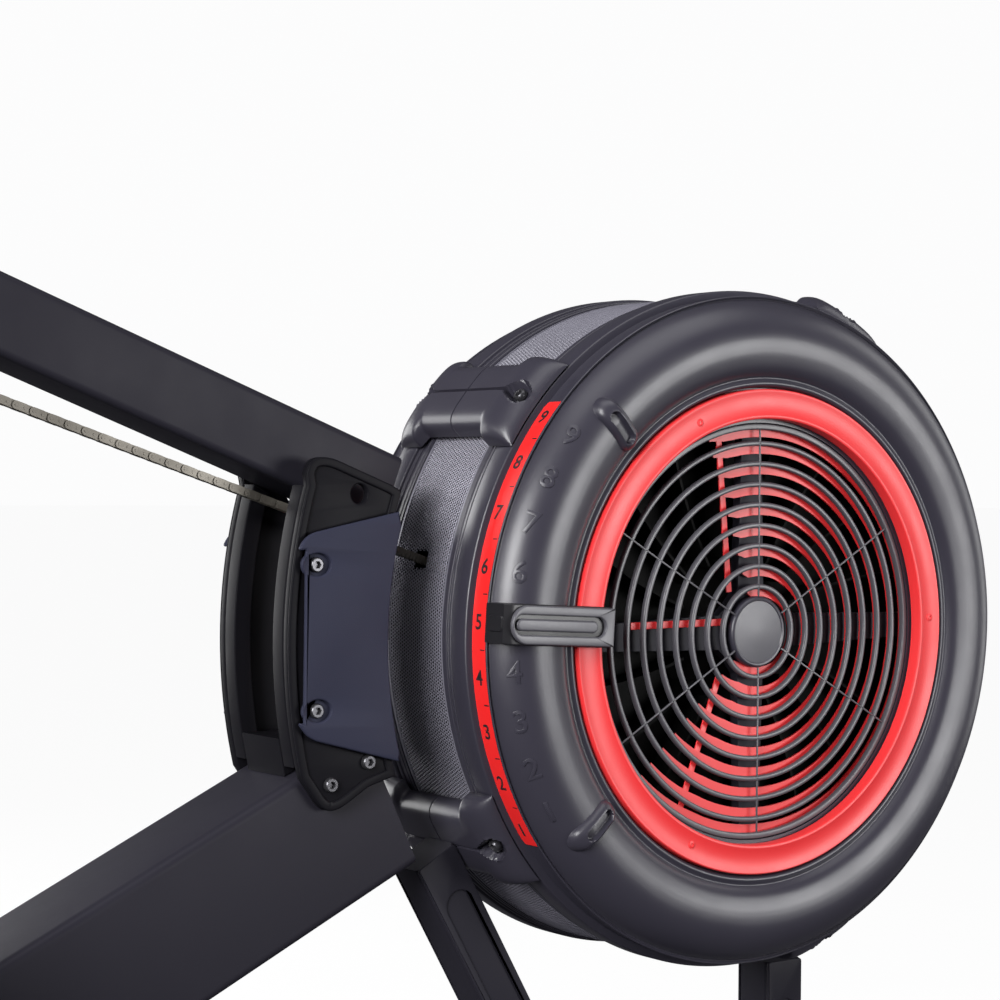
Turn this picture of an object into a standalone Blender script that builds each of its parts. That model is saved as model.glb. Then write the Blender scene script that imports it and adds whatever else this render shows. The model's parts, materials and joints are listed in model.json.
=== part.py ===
"""Air rowing machine, modelled as separate pieces in one collection.

Metres, +Z up.  +X points from the seat to the fan, -Y is the side of the damper
dial, and the origin is on the floor under the middle of the machine.  Every
piece is placed from the fan's axis, which the empty "fan_centre" marks.
"""
import math

import bmesh
import bpy
from mathutils import Matrix, Vector

# --- Driving dimensions ------------------------------------------------------
FAN_X = 0.9375           # fan axis, forward of the machine's middle
FAN_Z = 0.640            # fan axis above the floor
GAP = 0.0004             # clearance between touching pieces
TURN_STEPS = 48          # facets round a turned piece

# Fan casing, all radii about the fan axis and depths along Y from the middle
CASE_R = 0.2535          # rim of each casing half
CASE_WALL = 0.003
STRIP_R = 0.2475         # land that carries the number strip
CROWN_R = 0.2145         # crown of the rounded side
CROWN_Y = 0.106
CROWN_ROUND = 0.0335     # radius of the rounded outer flank
RING_OUT = 0.180         # red damper ring
RING_IN = 0.158
RING_Y = 0.100
GRILLE_Y = 0.0873
GRILLE_OUT = 0.1550
GRILLE_RINGS = 8
GRILLE_PITCH = 0.0152
GRILLE_FIRST = 0.0338
GRILLE_WIRE = 0.0026
GRILLE_SPOKES = 6
HUB_R = 0.0265
BAND_HALF = 0.036        # perforated band, half its width
BAND_R = 0.2500
RIM_Y = 0.047            # inner edge of a casing rim

# Damper dial
DIAL_DEG = 3.7           # the middle of the scale, above the horizontal
DIAL_HALF_DEG = 38.8
LEVER_WIDTH = 0.028
LEVER_TOP_Y = 0.1130
LEVER_IN = 0.1570
LEVER_OUT = 0.2620
LEVER_CLEAR = 0.0016     # space between the lever and the casing under it

# Clamps that tie the two casing halves together
CLAMP_DEG = (-111.0, -33.5, 41.0, 115.5, 183.7)
CLAMP_IN = 0.2548
CLAMP_OUT = 0.2700
CLAMP_HALF_WIDTH = 0.030
CLAMP_FLAT_HALF = 0.047
CLAMP_FOOT_HALF = 0.069

# Frame
ARM_SLOPE = math.radians(20.95)
ARM_SIZE = 0.050
ARM_TOP = (-0.2760, 0.1279)      # upper front corner (x, z)
ARM_LENGTH = 0.7029
BEAM_SLOPE = math.radians(25.13)
BEAM_HEIGHT = 0.1016
BEAM_WIDTH = 0.0780
BEAM_TOP = (-0.3165, -0.0626)   # upper front corner (x, z)
BEAM_END_X = -0.7610
TUBE_WALL = 0.003
NECK_R = 0.382                  # rear arc of the neck plates
NECK_FRONT_R = {"right": 0.3100, "left": 0.2620}
NECK_HALF = 0.0455
NECK_PLATE = 0.0060
NECK_RIM = 0.0130               # how deep the thick rear rim is
SLOT_HALF = 0.0254
COVER_THICK = 0.0050
STRUT_SIZE = 0.036
REAR_STRUT_LEAN = math.radians(29.3)
REAR_STRUT_TOP = (-0.2350, -0.1700)
FRONT_STRUT_X = 0.095
FOOT_HEIGHT = 0.045
FRONT_FOOT_X = 0.062
FRONT_FOOT_DEPTH = 0.120
FRONT_FOOT_SPAN = 0.580
WHEEL_R = 0.034

# Chain, handle and return
CHAIN_SLOPE = math.radians(18.45)
SPROCKET_TEETH = 24
CHAIN_PITCH = 0.00635
CHAIN_HEIGHT = 0.0059
CHAIN_WIDTH = 0.0066
SPROCKET_R = CHAIN_PITCH / (2 * math.sin(math.pi / SPROCKET_TEETH))
HANDLE_AT = 0.800               # handle bar's centre, along the chain from the sprocket
HANDLE_R = 0.0125
GRIP_R = 0.0165

# Rail and seat
RAIL_TOP = -0.2500              # from the fan axis
RAIL_HEIGHT = 0.0900
RAIL_WIDTH = 0.0550
RAIL_FRONT = BEAM_END_X - GAP
RAIL_REAR = -2.1300
REAR_LEG_X = -2.0400
SEAT_X = -1.0600
ROLLER_R = 0.0135
ROLLER_SPREAD = 0.055
CARRIAGE_LENGTH = 0.180
CARRIAGE_TOP = 0.0400           # carriage top above the rail
SEAT_THICK = 0.0450

# Footrests
PLATE_SLOPE = math.radians(45.0)
PLATE_TOE = (-0.668, -0.138)
PLATE_LENGTH = 0.330
PLATE_WIDTH = 0.118
PLATE_IN = 0.0450
PLATE_THICK = 0.006

# Console
CONSOLE_TILT = math.radians(25.0)
CONSOLE_SIZE = (0.150, 0.042, 0.178)   # across, thick, tall

COLOURS = {
    "black_plastic": ((0.024, 0.023, 0.029, 1.0), 0.42, 0.0),
    "black_paint": ((0.022, 0.021, 0.026, 1.0), 0.38, 0.3),
    "cover_grey": ((0.040, 0.041, 0.052, 1.0), 0.50, 0.0),
    "mesh_grey": ((0.160, 0.160, 0.170, 1.0), 0.38, 0.8),
    "damper_red": ((0.800, 0.050, 0.030, 1.0), 0.40, 0.0),
    "chain_steel": ((0.420, 0.390, 0.340, 1.0), 0.35, 1.0),
    "bright_steel": ((0.560, 0.560, 0.580, 1.0), 0.28, 1.0),
    "rail_aluminium": ((0.550, 0.560, 0.580, 1.0), 0.35, 1.0),
    "rubber": ((0.015, 0.015, 0.016, 1.0), 0.75, 0.0),
    "strap": ((0.020, 0.020, 0.022, 1.0), 0.90, 0.0),
    "screen": ((0.120, 0.150, 0.140, 1.0), 0.15, 0.0),
}

# --- Scene, collections and materials ----------------------------------------
for old in list(bpy.data.objects):
    bpy.data.objects.remove(old, do_unlink=True)

parts = bpy.data.collections.new("rowing_machine")
cutters = bpy.data.collections.new("cutters")
bpy.context.scene.collection.children.link(parts)
bpy.context.scene.collection.children.link(cutters)

fan_centre = bpy.data.objects.new("fan_centre", None)
fan_centre.location = (FAN_X, 0.0, FAN_Z)
parts.objects.link(fan_centre)

# Turns that lay a flat outline or a turned profile into place
OUTLINE_IN_XZ = Matrix.Rotation(math.pi / 2, 4, "X")
AXIS_ALONG_Y = Matrix.Rotation(-math.pi / 2, 4, "X")
OUTLINE_IN_YZ = Matrix(((0, 0, 1, 0), (1, 0, 0, 0), (0, 1, 0, 0), (0, 0, 0, 1)))


def material(key):
    """Return the Principled material of this name, made on first use."""
    found = bpy.data.materials.get(key)
    if found:
        return found
    colour, roughness, metallic = COLOURS[key]
    made = bpy.data.materials.new(key)
    made.use_nodes = True
    shader = made.node_tree.nodes["Principled BSDF"]
    shader.inputs["Base Color"].default_value = colour
    shader.inputs["Roughness"].default_value = roughness
    shader.inputs["Metallic"].default_value = metallic
    made.diffuse_color = colour
    return made


def place(name, data, finish, matrix=None, collection=parts):
    """Make an object of this data, placed from the fan's axis."""
    made = bpy.data.objects.new(name, data)
    if not data.materials:
        data.materials.append(material(finish))
    made.parent = fan_centre
    made.matrix_local = matrix or Matrix.Identity(4)
    collection.objects.link(made)
    return made


def at(x=0.0, y=0.0, z=0.0):
    """Translation by x, y, z."""
    return Matrix.Translation((x, y, z))


def box(name, size, finish, matrix, bevel=0.0, collection=parts):
    """A block of this size, with its edges rounded when bevel is given."""
    mesh = bpy.data.meshes.new(name)
    bm = bmesh.new()
    bmesh.ops.create_cube(bm, size=1.0)
    bmesh.ops.scale(bm, vec=Vector(size), verts=bm.verts)
    bm.to_mesh(mesh)
    bm.free()
    made = place(name, mesh, finish, matrix, collection)
    if bevel:
        add_bevel(made, bevel)
    return made


def add_bevel(piece, width, segments=2):
    """Round the sharp edges of a piece."""
    bevel = piece.modifiers.new("bevel", "BEVEL")
    bevel.width = width
    bevel.segments = segments
    bevel.limit_method = "ANGLE"
    bevel.angle_limit = math.radians(40)
    return bevel


def plate(name, outlines, thickness, finish, matrix):
    """A flat outline, with any holes as further outlines, given a thickness."""
    curve = bpy.data.curves.new(name, "CURVE")
    curve.dimensions = "2D"
    curve.fill_mode = "BOTH"
    curve.extrude = thickness / 2
    for points in outlines:
        spline = curve.splines.new("POLY")
        spline.points.add(len(points) - 1)
        for target, point in zip(spline.points, points):
            target.co = (point[0], point[1], 0.0, 1.0)
        spline.use_cyclic_u = True
    return place(name, curve, finish, matrix)


def as_mesh(piece):
    """Change a curve piece to a welded mesh, so that it can be cut or joined."""
    bpy.context.view_layer.update()
    graph = bpy.context.evaluated_depsgraph_get()
    mesh = bpy.data.meshes.new_from_object(piece.evaluated_get(graph))
    bm = bmesh.new()
    bm.from_mesh(mesh)
    bmesh.ops.remove_doubles(bm, verts=bm.verts, dist=0.00001)
    bmesh.ops.recalc_face_normals(bm, faces=bm.faces)
    bm.to_mesh(mesh)
    bm.free()
    name = piece.name
    matrix = piece.matrix_local.copy()
    piece.name = name + "_outline"
    finish = piece.data.materials[0].name
    bpy.data.objects.remove(piece, do_unlink=True)
    mesh.name = name
    return place(name, mesh, finish, matrix)


def turned(name, profile, finish, matrix=AXIS_ALONG_Y, steps=TURN_STEPS):
    """Turn a closed profile of (radius, height) points about its axis."""
    area = sum(a[0] * b[1] - b[0] * a[1] for a, b in zip(profile, profile[1:] + profile[:1]))
    points = profile if area < 0 else profile[::-1]
    mesh = bpy.data.meshes.new(name)
    edges = [(i, (i + 1) % len(points)) for i in range(len(points))]
    mesh.from_pydata([(r, 0.0, h) for r, h in points], edges, [])
    made = place(name, mesh, finish, matrix)
    screw = made.modifiers.new("screw", "SCREW")
    screw.axis = "Z"
    screw.steps = steps
    screw.render_steps = steps
    screw.use_merge_vertices = True
    screw.merge_threshold = 0.00001
    screw.use_smooth_shade = True
    return made


def ring(name, inner, outer, low, high, finish, matrix=AXIS_ALONG_Y, steps=TURN_STEPS):
    """A plain ring between two radii and two heights."""
    profile = [(outer, high), (outer, low), (inner, low), (inner, high)]
    return turned(name, profile, finish, matrix, steps)


def rod(name, radius, low, high, finish, matrix=AXIS_ALONG_Y, steps=24):
    """A round bar along its axis between two heights."""
    mesh = bpy.data.meshes.new(name)
    bm = bmesh.new()
    bmesh.ops.create_cone(bm, cap_ends=True, segments=steps, radius1=radius,
                          radius2=radius, depth=high - low)
    bmesh.ops.translate(bm, vec=(0, 0, (high + low) / 2), verts=bm.verts)
    bm.to_mesh(mesh)
    bm.free()
    return place(name, mesh, finish, matrix)


def tube(name, points, radius, finish, matrix=None, sides=3):
    """A round bar that follows a path of points."""
    curve = bpy.data.curves.new(name, "CURVE")
    curve.dimensions = "3D"
    curve.bevel_depth = radius
    curve.bevel_resolution = sides
    curve.use_fill_caps = True
    spline = curve.splines.new("POLY")
    spline.points.add(len(points) - 1)
    for target, point in zip(spline.points, points):
        target.co = (*point, 1.0)
    return place(name, curve, finish, matrix)


def unite(piece, other):
    """Join another piece into this one and take the other away."""
    join = piece.modifiers.new("union", "BOOLEAN")
    join.operation = "UNION"
    join.solver = "EXACT"
    join.object = other
    hide_cutter(other)


def cut(piece, cutter):
    """Take the cutter's shape out of a piece."""
    hollow = piece.modifiers.new("cut", "BOOLEAN")
    hollow.operation = "DIFFERENCE"
    hollow.solver = "EXACT"
    hollow.object = cutter
    hide_cutter(cutter)


def hide_cutter(cutter):
    """Keep a construction shape out of the model."""
    cutter.hide_render = True
    cutter.display_type = "WIRE"
    if cutter.name in parts.objects:
        parts.objects.unlink(cutter)
        cutters.objects.link(cutter)


def polar(radius, degrees):
    """Point at this radius, degrees above the line from the axis to the seat."""
    angle = math.radians(degrees)
    return (-radius * math.cos(angle), radius * math.sin(angle))


def arc(radius, start, end, count):
    """Points along an arc about the fan's axis."""
    return [polar(radius, start + (end - start) * i / count) for i in range(count + 1)]


def circle(radius, count, centre=(0.0, 0.0)):
    """Points round a circle."""
    steps = [2 * math.pi * i / count for i in range(count)]
    return [(centre[0] + radius * math.cos(a), centre[1] + radius * math.sin(a)) for a in steps]


def crown_flank(start_r, end_r, count, offset=0.0):
    """Points (radius, depth) on the rounded outer flank of a casing side."""
    radius = CROWN_ROUND - offset
    points = []
    for i in range(count + 1):
        r = start_r + (end_r - start_r) * i / count
        rise = math.sqrt(max(radius ** 2 - (r - CROWN_R) ** 2, 0.0))
        points.append((r, CROWN_Y - CROWN_ROUND + rise))
    return points


# --- Fan casing ---------------------------------------------------------------
def case_outside():
    """The outer skin of a casing half, from the ring seat to the rim."""
    points = [(RING_OUT + 0.0015, GRILLE_Y + 0.003), (RING_OUT + 0.0020, RING_Y - 0.0060),
              (0.1900, RING_Y - 0.0010), (0.2000, CROWN_Y - 0.0020)]
    points += crown_flank(CROWN_R, 0.2460, 5)
    points += [(STRIP_R, 0.0850), (STRIP_R, 0.0690), (CASE_R, 0.0670), (CASE_R, 0.0500)]
    points += [(BAND_R + 0.0010, RIM_Y), (BAND_R + 0.0010, BAND_HALF + GAP)]
    return points


def case_inside():
    """The inner skin of a casing half, from the rim back to the ring seat."""
    return [(BAND_R - CASE_WALL, BAND_HALF + GAP), (BAND_R - CASE_WALL, 0.0640),
            (STRIP_R - CASE_WALL, 0.0680), (0.2410, 0.0860), (0.2320, 0.0960),
            (CROWN_R, CROWN_Y - CASE_WALL), (0.2000, CROWN_Y - 0.0055),
            (0.1880, RING_Y - 0.0055), (RING_OUT + 0.0010, GRILLE_Y)]


def damper_side(points):
    """Depths as they are on the damper's side, which is towards -Y."""
    return [(r, -y) for r, y in points]


seat_lip = [(GRILLE_OUT + GAP, GRILLE_Y), (GRILLE_OUT + GAP, GRILLE_Y + 0.0020),
            (RING_IN - 0.0010, GRILLE_Y + 0.0020)]
turned("fan_housing_right", damper_side(case_outside() + case_inside() + seat_lip),
       "black_plastic")

side_dish = [(0.1600, GRILLE_Y), (0.0600, GRILLE_Y - 0.0040), (0.0300, GRILLE_Y + 0.0010),
             (0.0182, GRILLE_Y + 0.0010), (0.0182, 0.0720), (0.0240, 0.0720),
             (0.0300, GRILLE_Y - 0.0040), (0.0600, GRILLE_Y - 0.0075), (0.1600, GRILLE_Y - 0.0035)]
turned("fan_housing_left", case_outside() + case_inside()
       + side_dish[::-1] + [(0.1700, GRILLE_Y + 0.0010)], "black_plastic")

band = ring("perforated_band", BAND_R - 0.0025, BAND_R, -BAND_HALF, BAND_HALF, "mesh_grey")
chain_window = box("chain_window_cutter", (0.060, 0.024, 0.130), "black_paint",
                   at(-BAND_R, 0.0, 0.018), collection=cutters)
cut(band, chain_window)

for number, degrees in enumerate(CLAMP_DEG, 1):
    rise = CLAMP_OUT - CLAMP_IN
    section = [(-CLAMP_FOOT_HALF, 0.0), (CLAMP_FOOT_HALF, 0.0), (CLAMP_FOOT_HALF, 0.0030),
               (CLAMP_FLAT_HALF, rise), (-CLAMP_FLAT_HALF, rise), (-CLAMP_FOOT_HALF, 0.0030)]
    turn = Matrix.Rotation(math.radians(degrees) - math.pi / 2, 4, "Y")
    plate(f"housing_clamp_{number}", [section], 2 * CLAMP_HALF_WIDTH, "black_plastic",
          turn @ at(z=CLAMP_IN) @ OUTLINE_IN_YZ)

strip_arc = arc(STRIP_R + GAP, DIAL_DEG - DIAL_HALF_DEG, DIAL_DEG + DIAL_HALF_DEG, 20)
strip_arc += arc(STRIP_R + 0.0014, DIAL_DEG + DIAL_HALF_DEG, DIAL_DEG - DIAL_HALF_DEG, 20)
plate("scale_strip", [strip_arc], 0.0156, "damper_red", at(y=-0.0770) @ OUTLINE_IN_XZ)


def grille_windows(edges, steps_of):
    """Openings between the rings and the spokes of a round grille."""
    windows = []
    sector = 360.0 / GRILLE_SPOKES
    for inner, outer in zip(edges, edges[1:]):
        low = inner + GRILLE_WIRE / 2
        high = outer - GRILLE_WIRE / 2
        count = steps_of(outer)
        for spoke in range(GRILLE_SPOKES):
            lean = math.degrees(GRILLE_WIRE / 2 / low)
            start = 90.0 + sector * spoke + lean
            end = 90.0 + sector * (spoke + 1) - lean
            windows.append(arc(low, start, end, count) + arc(high, end, start, count))
    return windows


grille_edges = [HUB_R - GRILLE_WIRE / 2]
grille_edges += [GRILLE_FIRST + GRILLE_PITCH * i for i in range(GRILLE_RINGS)]
grille_edges.append(0.1500)
plate("fan_grille", [circle(GRILLE_OUT, TURN_STEPS)]
      + grille_windows(grille_edges, lambda radius: 3 if radius < 0.08 else 5),
      0.0040, "black_plastic", at(y=-GRILLE_Y + 0.0020) @ OUTLINE_IN_XZ)

# --- Damper -------------------------------------------------------------------
ring("damper_ring", RING_IN, RING_OUT, -RING_Y, -GRILLE_Y - 0.0030, "damper_red")


def over_crown(radius):
    """Depth of the lever's underside where it passes over the casing."""
    if radius < RING_OUT + 0.004:
        return RING_Y + GAP
    rise = math.sqrt(CROWN_ROUND ** 2 - (radius - CROWN_R) ** 2)
    return max(RING_Y + GAP, CROWN_Y - CROWN_ROUND + rise + LEVER_CLEAR)


lever_under = [LEVER_IN, RING_OUT, CROWN_R - 0.012, CROWN_R, 0.2200, 0.2250, 0.2300, 0.2340,
               0.2380]
lever_side = [(r, over_crown(r)) for r in lever_under]
lever_side.append((0.2440, over_crown(0.2380) - 0.0060))
lever_side += [(LEVER_OUT - 0.004, 0.0930), (LEVER_OUT, 0.0980), (LEVER_OUT - 0.003, 0.1080),
               (0.2500, LEVER_TOP_Y), (LEVER_IN, LEVER_TOP_Y)]
dial_turn = Matrix.Rotation(math.radians(DIAL_DEG), 4, "Y")
lever_frame = Matrix(((-1, 0, 0, 0), (0, -1, 0, 0), (0, 0, 1, 0), (0, 0, 0, 1)))
plate("damper_lever", [lever_side], LEVER_WIDTH, "black_plastic", dial_turn @ lever_frame)

shutter_windows = []
for spoke in range(GRILLE_SPOKES):
    begin = 60.0 * spoke
    for inner, outer in ((0.045, 0.075), (0.085, 0.135)):
        shutter_windows.append(arc(inner, begin, begin + 34, 4) + arc(outer, begin + 34, begin, 4))
plate("damper_shutter", [circle(0.1480, TURN_STEPS), circle(0.0200, 16)] + shutter_windows,
      0.0020, "damper_red", at(y=-0.0815) @ OUTLINE_IN_XZ)

# --- Fan, axle and bearings ----------------------------------------------------
spider = []
for arm in range(4):
    middle = 90.0 + 90.0 * arm
    for offset, radius in ((-4.0, 0.2400), (4.0, 0.2400), (22.0, 0.0340), (45.0, 0.0300),
                           (68.0, 0.0340)):
        if radius > 0.1:
            lean = math.degrees(math.atan2(0.0070, radius)) * math.copysign(1, offset)
            spider.append(polar(radius, middle + lean))
        else:
            spider.append(polar(radius, middle + offset))
plate("bearing_spider", [spider, circle(0.0182, 20)], 0.0080, "black_paint",
      at(y=-0.0745) @ OUTLINE_IN_XZ)
ring("bearing_right", 0.0089, 0.0178, -0.0785, -0.0705, "bright_steel", steps=24)
ring("bearing_left", 0.0089, 0.0178, 0.0740, 0.0840, "bright_steel", steps=24)
rod("fan_axle", 0.0085, -0.0785, 0.0860, "bright_steel")

BLADES = 18
blade_outline = []
for blade in range(BLADES):
    middle = 360.0 * blade / BLADES
    blade_outline += [polar(0.0600, middle - 6.0), polar(0.2250, middle - 0.6),
                      polar(0.2250, middle + 0.6), polar(0.0600, middle + 6.0)]
plate("fan_wheel", [blade_outline, circle(0.0089, 20)], 0.0520, "mesh_grey",
      at(y=-0.0390) @ OUTLINE_IN_XZ)

tooth_tip = SPROCKET_R - CHAIN_HEIGHT / 2 - GAP
sprocket_outline = []
for tooth in range(SPROCKET_TEETH):
    step = 360.0 / SPROCKET_TEETH
    sprocket_outline += [polar(tooth_tip - 0.0020, tooth * step),
                         polar(tooth_tip, (tooth + 0.40) * step),
                         polar(tooth_tip, (tooth + 0.60) * step)]
plate("chain_sprocket", [sprocket_outline, circle(0.0089, 20)], 0.0030, "bright_steel",
      at(y=0.0) @ OUTLINE_IN_XZ)

# --- Chain and handle -----------------------------------------------------------
# Local X runs along the chain towards the seat, local Z is up from the chain.
chain_frame = Matrix.Rotation(math.pi + CHAIN_SLOPE, 4, "Y") @ Matrix.Diagonal((1, -1, -1, 1))
chain_frame = chain_frame @ at(z=-SPROCKET_R)
LEAD_LENGTH = 0.060
YOKE_LENGTH = 0.070
box("chain_lead", (LEAD_LENGTH, CHAIN_WIDTH, CHAIN_HEIGHT), "chain_steel",
    chain_frame @ at(LEAD_LENGTH / 2))
chain_from = LEAD_LENGTH + GAP
chain_to = HANDLE_AT - YOKE_LENGTH - GAP
box("pull_chain", (chain_to - chain_from, CHAIN_WIDTH, CHAIN_HEIGHT), "chain_steel",
    chain_frame @ at((chain_to + chain_from) / 2))

BAR_HALF = 0.245
BAR_BEND_Y = 0.055
BAR_SWEEP = 0.018
GRIP_FROM = 0.085


def bar_x(y):
    """How far the bent handle bar sweeps back towards the rower at y."""
    past = max(abs(y) - BAR_BEND_Y, 0.0)
    return HANDLE_AT + BAR_SWEEP * past / (BAR_HALF - BAR_BEND_Y)


bar_path = [(bar_x(y), y, 0.0) for y in (-GRIP_FROM + GAP, -0.070, -BAR_BEND_Y, -0.040, 0.040,
                                         BAR_BEND_Y, 0.070, GRIP_FROM - GAP)]
tube("handle_bar", bar_path, HANDLE_R, "black_paint", chain_frame, sides=3)
for side, name in ((-1, "right"), (1, "left")):
    grip_path = [(bar_x(side * y), side * y, 0.0) for y in (GRIP_FROM, 0.120, 0.200, BAR_HALF)]
    tube(f"handle_grip_{name}", grip_path, GRIP_R, "rubber", chain_frame, sides=3)

yoke_nose = HANDLE_AT - YOKE_LENGTH
yoke_grip = HANDLE_AT - HANDLE_R - GAP
yoke = [(yoke_nose, -0.012), (yoke_grip, -0.034), (yoke_grip, -0.024), (yoke_nose + 0.016, -0.005),
        (yoke_nose + 0.016, 0.005), (yoke_grip, 0.024), (yoke_grip, 0.034), (yoke_nose, 0.012)]
plate("handle_yoke", [yoke], 0.012, "bright_steel", chain_frame)

# --- Frame ---------------------------------------------------------------------
# Local X of a sloping tube runs from its front end towards the seat.
arm_frame = at(ARM_TOP[0], 0.0, ARM_TOP[1]) @ Matrix.Rotation(math.pi + ARM_SLOPE, 4, "Y")
arm_frame = arm_frame @ Matrix.Diagonal((1, -1, -1, 1))
beam_frame = at(BEAM_TOP[0], 0.0, BEAM_TOP[1]) @ Matrix.Rotation(math.pi - BEAM_SLOPE, 4, "Y")
beam_frame = beam_frame @ Matrix.Diagonal((1, -1, -1, 1))


def rectangle(width, height, middle=0.0):
    """Corners of an upright rectangle about (0, middle)."""
    w = width / 2
    h = height / 2
    return [(-w, middle - h), (w, middle - h), (w, middle + h), (-w, middle + h)]


def square_tube(name, width, height, length, frame):
    """A hollow rectangular tube, its top face along local X."""
    outer = rectangle(width, height, -height / 2)
    inner = rectangle(width - 2 * TUBE_WALL, height - 2 * TUBE_WALL, -height / 2)
    return plate(name, [outer, inner], length, "black_paint",
                 frame @ at(length / 2) @ OUTLINE_IN_YZ)


square_tube("monitor_arm", ARM_SIZE, ARM_SIZE, ARM_LENGTH, arm_frame)

beam_run = (BEAM_TOP[0] - BEAM_END_X) / math.cos(BEAM_SLOPE) + 0.060
main_beam = as_mesh(square_tube("main_beam", BEAM_WIDTH, BEAM_HEIGHT, beam_run, beam_frame))
beam_end = box("beam_end_cutter", (0.30, 0.20, 0.60), "black_paint",
               at(BEAM_END_X - 0.150, 0.0, -0.350), collection=cutters)
cut(main_beam, beam_end)


def beam_top(x):
    """Height of the main beam's top face at x."""
    return BEAM_TOP[1] - (BEAM_TOP[0] - x) * math.tan(BEAM_SLOPE)


neck_rear = arc(NECK_R, -14.5, 17.8, 14)
neck_top = [(-0.3600, 0.1258), (-0.3520, 0.1272), (-0.3440, 0.1250), (-0.2970, 0.1080)]
neck_under = [(-0.3184, -0.0965), (-0.3430, -0.1100), (-0.3520, -0.1112), (-0.3610, -0.1050)]
neck_front = {"right": arc(NECK_FRONT_R["right"], 20.0, -17.5, 14),
              "left": arc(NECK_FRONT_R["left"], 21.5, -18.0, 14)}
rim_outline = arc(NECK_R, -12.6, 17.0, 12) + arc(NECK_R - NECK_RIM, 17.0, -12.4, 12)
cover_outline = [(-0.3770, 0.0620), (-0.3740, 0.0700), (-0.3680, 0.0745), (-0.3450, 0.0812),
                 (-0.2960, 0.0900)]
cover_outline += arc(0.3060, 15.0, -14.0, 10)
cover_outline += [(-0.2965, -0.0800), (-0.3330, -0.0700), (-0.3660, -0.0615), (-0.3735, -0.0560),
                  (-0.3770, -0.0470)]
plate_middle = NECK_HALF - NECK_PLATE / 2
rim_depth = NECK_HALF - SLOT_HALF
for side, name in ((-1, "right"), (1, "left")):
    neck_outline = neck_rear + neck_top + neck_front[name] + neck_under
    neck = as_mesh(plate(f"neck_plate_{name}", [neck_outline], NECK_PLATE, "black_plastic",
                         at(y=side * plate_middle) @ OUTLINE_IN_XZ))
    rim = as_mesh(plate(f"neck_rim_{name}", [rim_outline], rim_depth - 0.0001, "black_plastic",
                        at(y=side * (NECK_HALF - rim_depth / 2)) @ OUTLINE_IN_XZ))
    unite(neck, rim)
    plate(f"side_cover_{name}", [cover_outline], COVER_THICK, "cover_grey",
          at(y=side * (NECK_HALF + GAP + COVER_THICK / 2)) @ OUTLINE_IN_XZ)

SLOT_FLOOR = -0.0620
floor_front = BEAM_TOP[0] - (BEAM_TOP[1] - SLOT_FLOOR) / math.tan(BEAM_SLOPE)
block_front = floor_front - 0.002
block_rear = -0.3722
neck_block = [(block_front, SLOT_FLOOR), (block_rear - 0.005, SLOT_FLOOR),
              (block_rear, beam_top(block_rear) + GAP),
              (block_front, beam_top(block_front) + GAP)]
plate("neck_block", [neck_block], 2 * SLOT_HALF - 2 * GAP, "black_plastic", OUTLINE_IN_XZ)

FLOOR = -FAN_Z
foot_top = FLOOR + FOOT_HEIGHT
lean = math.tan(REAR_STRUT_LEAN)


def strut_x(z):
    """Centre of the rear strut at this height."""
    return REAR_STRUT_TOP[0] + (REAR_STRUT_TOP[1] - z) * lean


def cross_tube(name, depth, span, x):
    """A foot: a hollow rectangular tube that lies across the machine on the floor."""
    outer = rectangle(depth, FOOT_HEIGHT, FLOOR + FOOT_HEIGHT / 2)
    inner = rectangle(depth - 2 * TUBE_WALL, FOOT_HEIGHT - 2 * TUBE_WALL, FLOOR + FOOT_HEIGHT / 2)
    return plate(name, [outer, inner], span, "black_paint", at(x) @ OUTLINE_IN_XZ)


rear_top_z = -0.1560
rear_run = (rear_top_z - foot_top) / math.cos(REAR_STRUT_LEAN) + 0.040
rear_frame = at(strut_x(rear_top_z), 0.0, rear_top_z)
rear_frame = rear_frame @ Matrix.Rotation(math.pi / 2 - REAR_STRUT_LEAN, 4, "Y")
hollow = STRUT_SIZE - 2 * TUBE_WALL
strut_section = [rectangle(STRUT_SIZE, STRUT_SIZE), rectangle(hollow, hollow)]
rear_strut = as_mesh(plate("rear_strut", strut_section, rear_run, "black_paint",
                           rear_frame @ at(rear_run / 2) @ OUTLINE_IN_YZ))
foot_clearance = box("foot_clearance_cutter", (0.40, 0.20, 0.10), "black_paint",
                     at(0.0, 0.0, foot_top + GAP - 0.050), collection=cutters)
cut(rear_strut, foot_clearance)

front_top_z = -0.2700
front_run = front_top_z - foot_top - GAP
plate("front_strut", strut_section, front_run, "black_paint",
      at(FRONT_STRUT_X, 0.0, (front_top_z + foot_top + GAP) / 2))
front_foot = as_mesh(cross_tube("front_foot", FRONT_FOOT_DEPTH, FRONT_FOOT_SPAN, FRONT_FOOT_X))
WHEEL_Y = 0.200
wheel_x = FRONT_FOOT_X + FRONT_FOOT_DEPTH / 2 + WHEEL_R + 0.002
wheel_z = FLOOR + WHEEL_R + 0.004
for side, name in ((-1, "right"), (1, "left")):
    ring(f"transport_wheel_{name}", 0.0060, WHEEL_R, -0.012, 0.012, "rubber",
         at(wheel_x, side * WHEEL_Y, wheel_z) @ AXIS_ALONG_Y, steps=28)
    lug = box(f"wheel_lug_{name}", (WHEEL_R + 0.022, 0.006, 0.026), "black_paint",
              at(wheel_x - WHEEL_R / 2 + 0.001, side * (WHEEL_Y - 0.0160), wheel_z),
              collection=cutters)
    unite(front_foot, lug)
    pin = rod(f"wheel_pin_{name}", 0.0056, -0.0180, 0.0130, "bright_steel",
              at(wheel_x, side * WHEEL_Y, wheel_z) @ AXIS_ALONG_Y
              @ Matrix.Rotation(0.0 if side > 0 else math.pi, 4, "X"), steps=12)
    unite(front_foot, pin)

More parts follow.
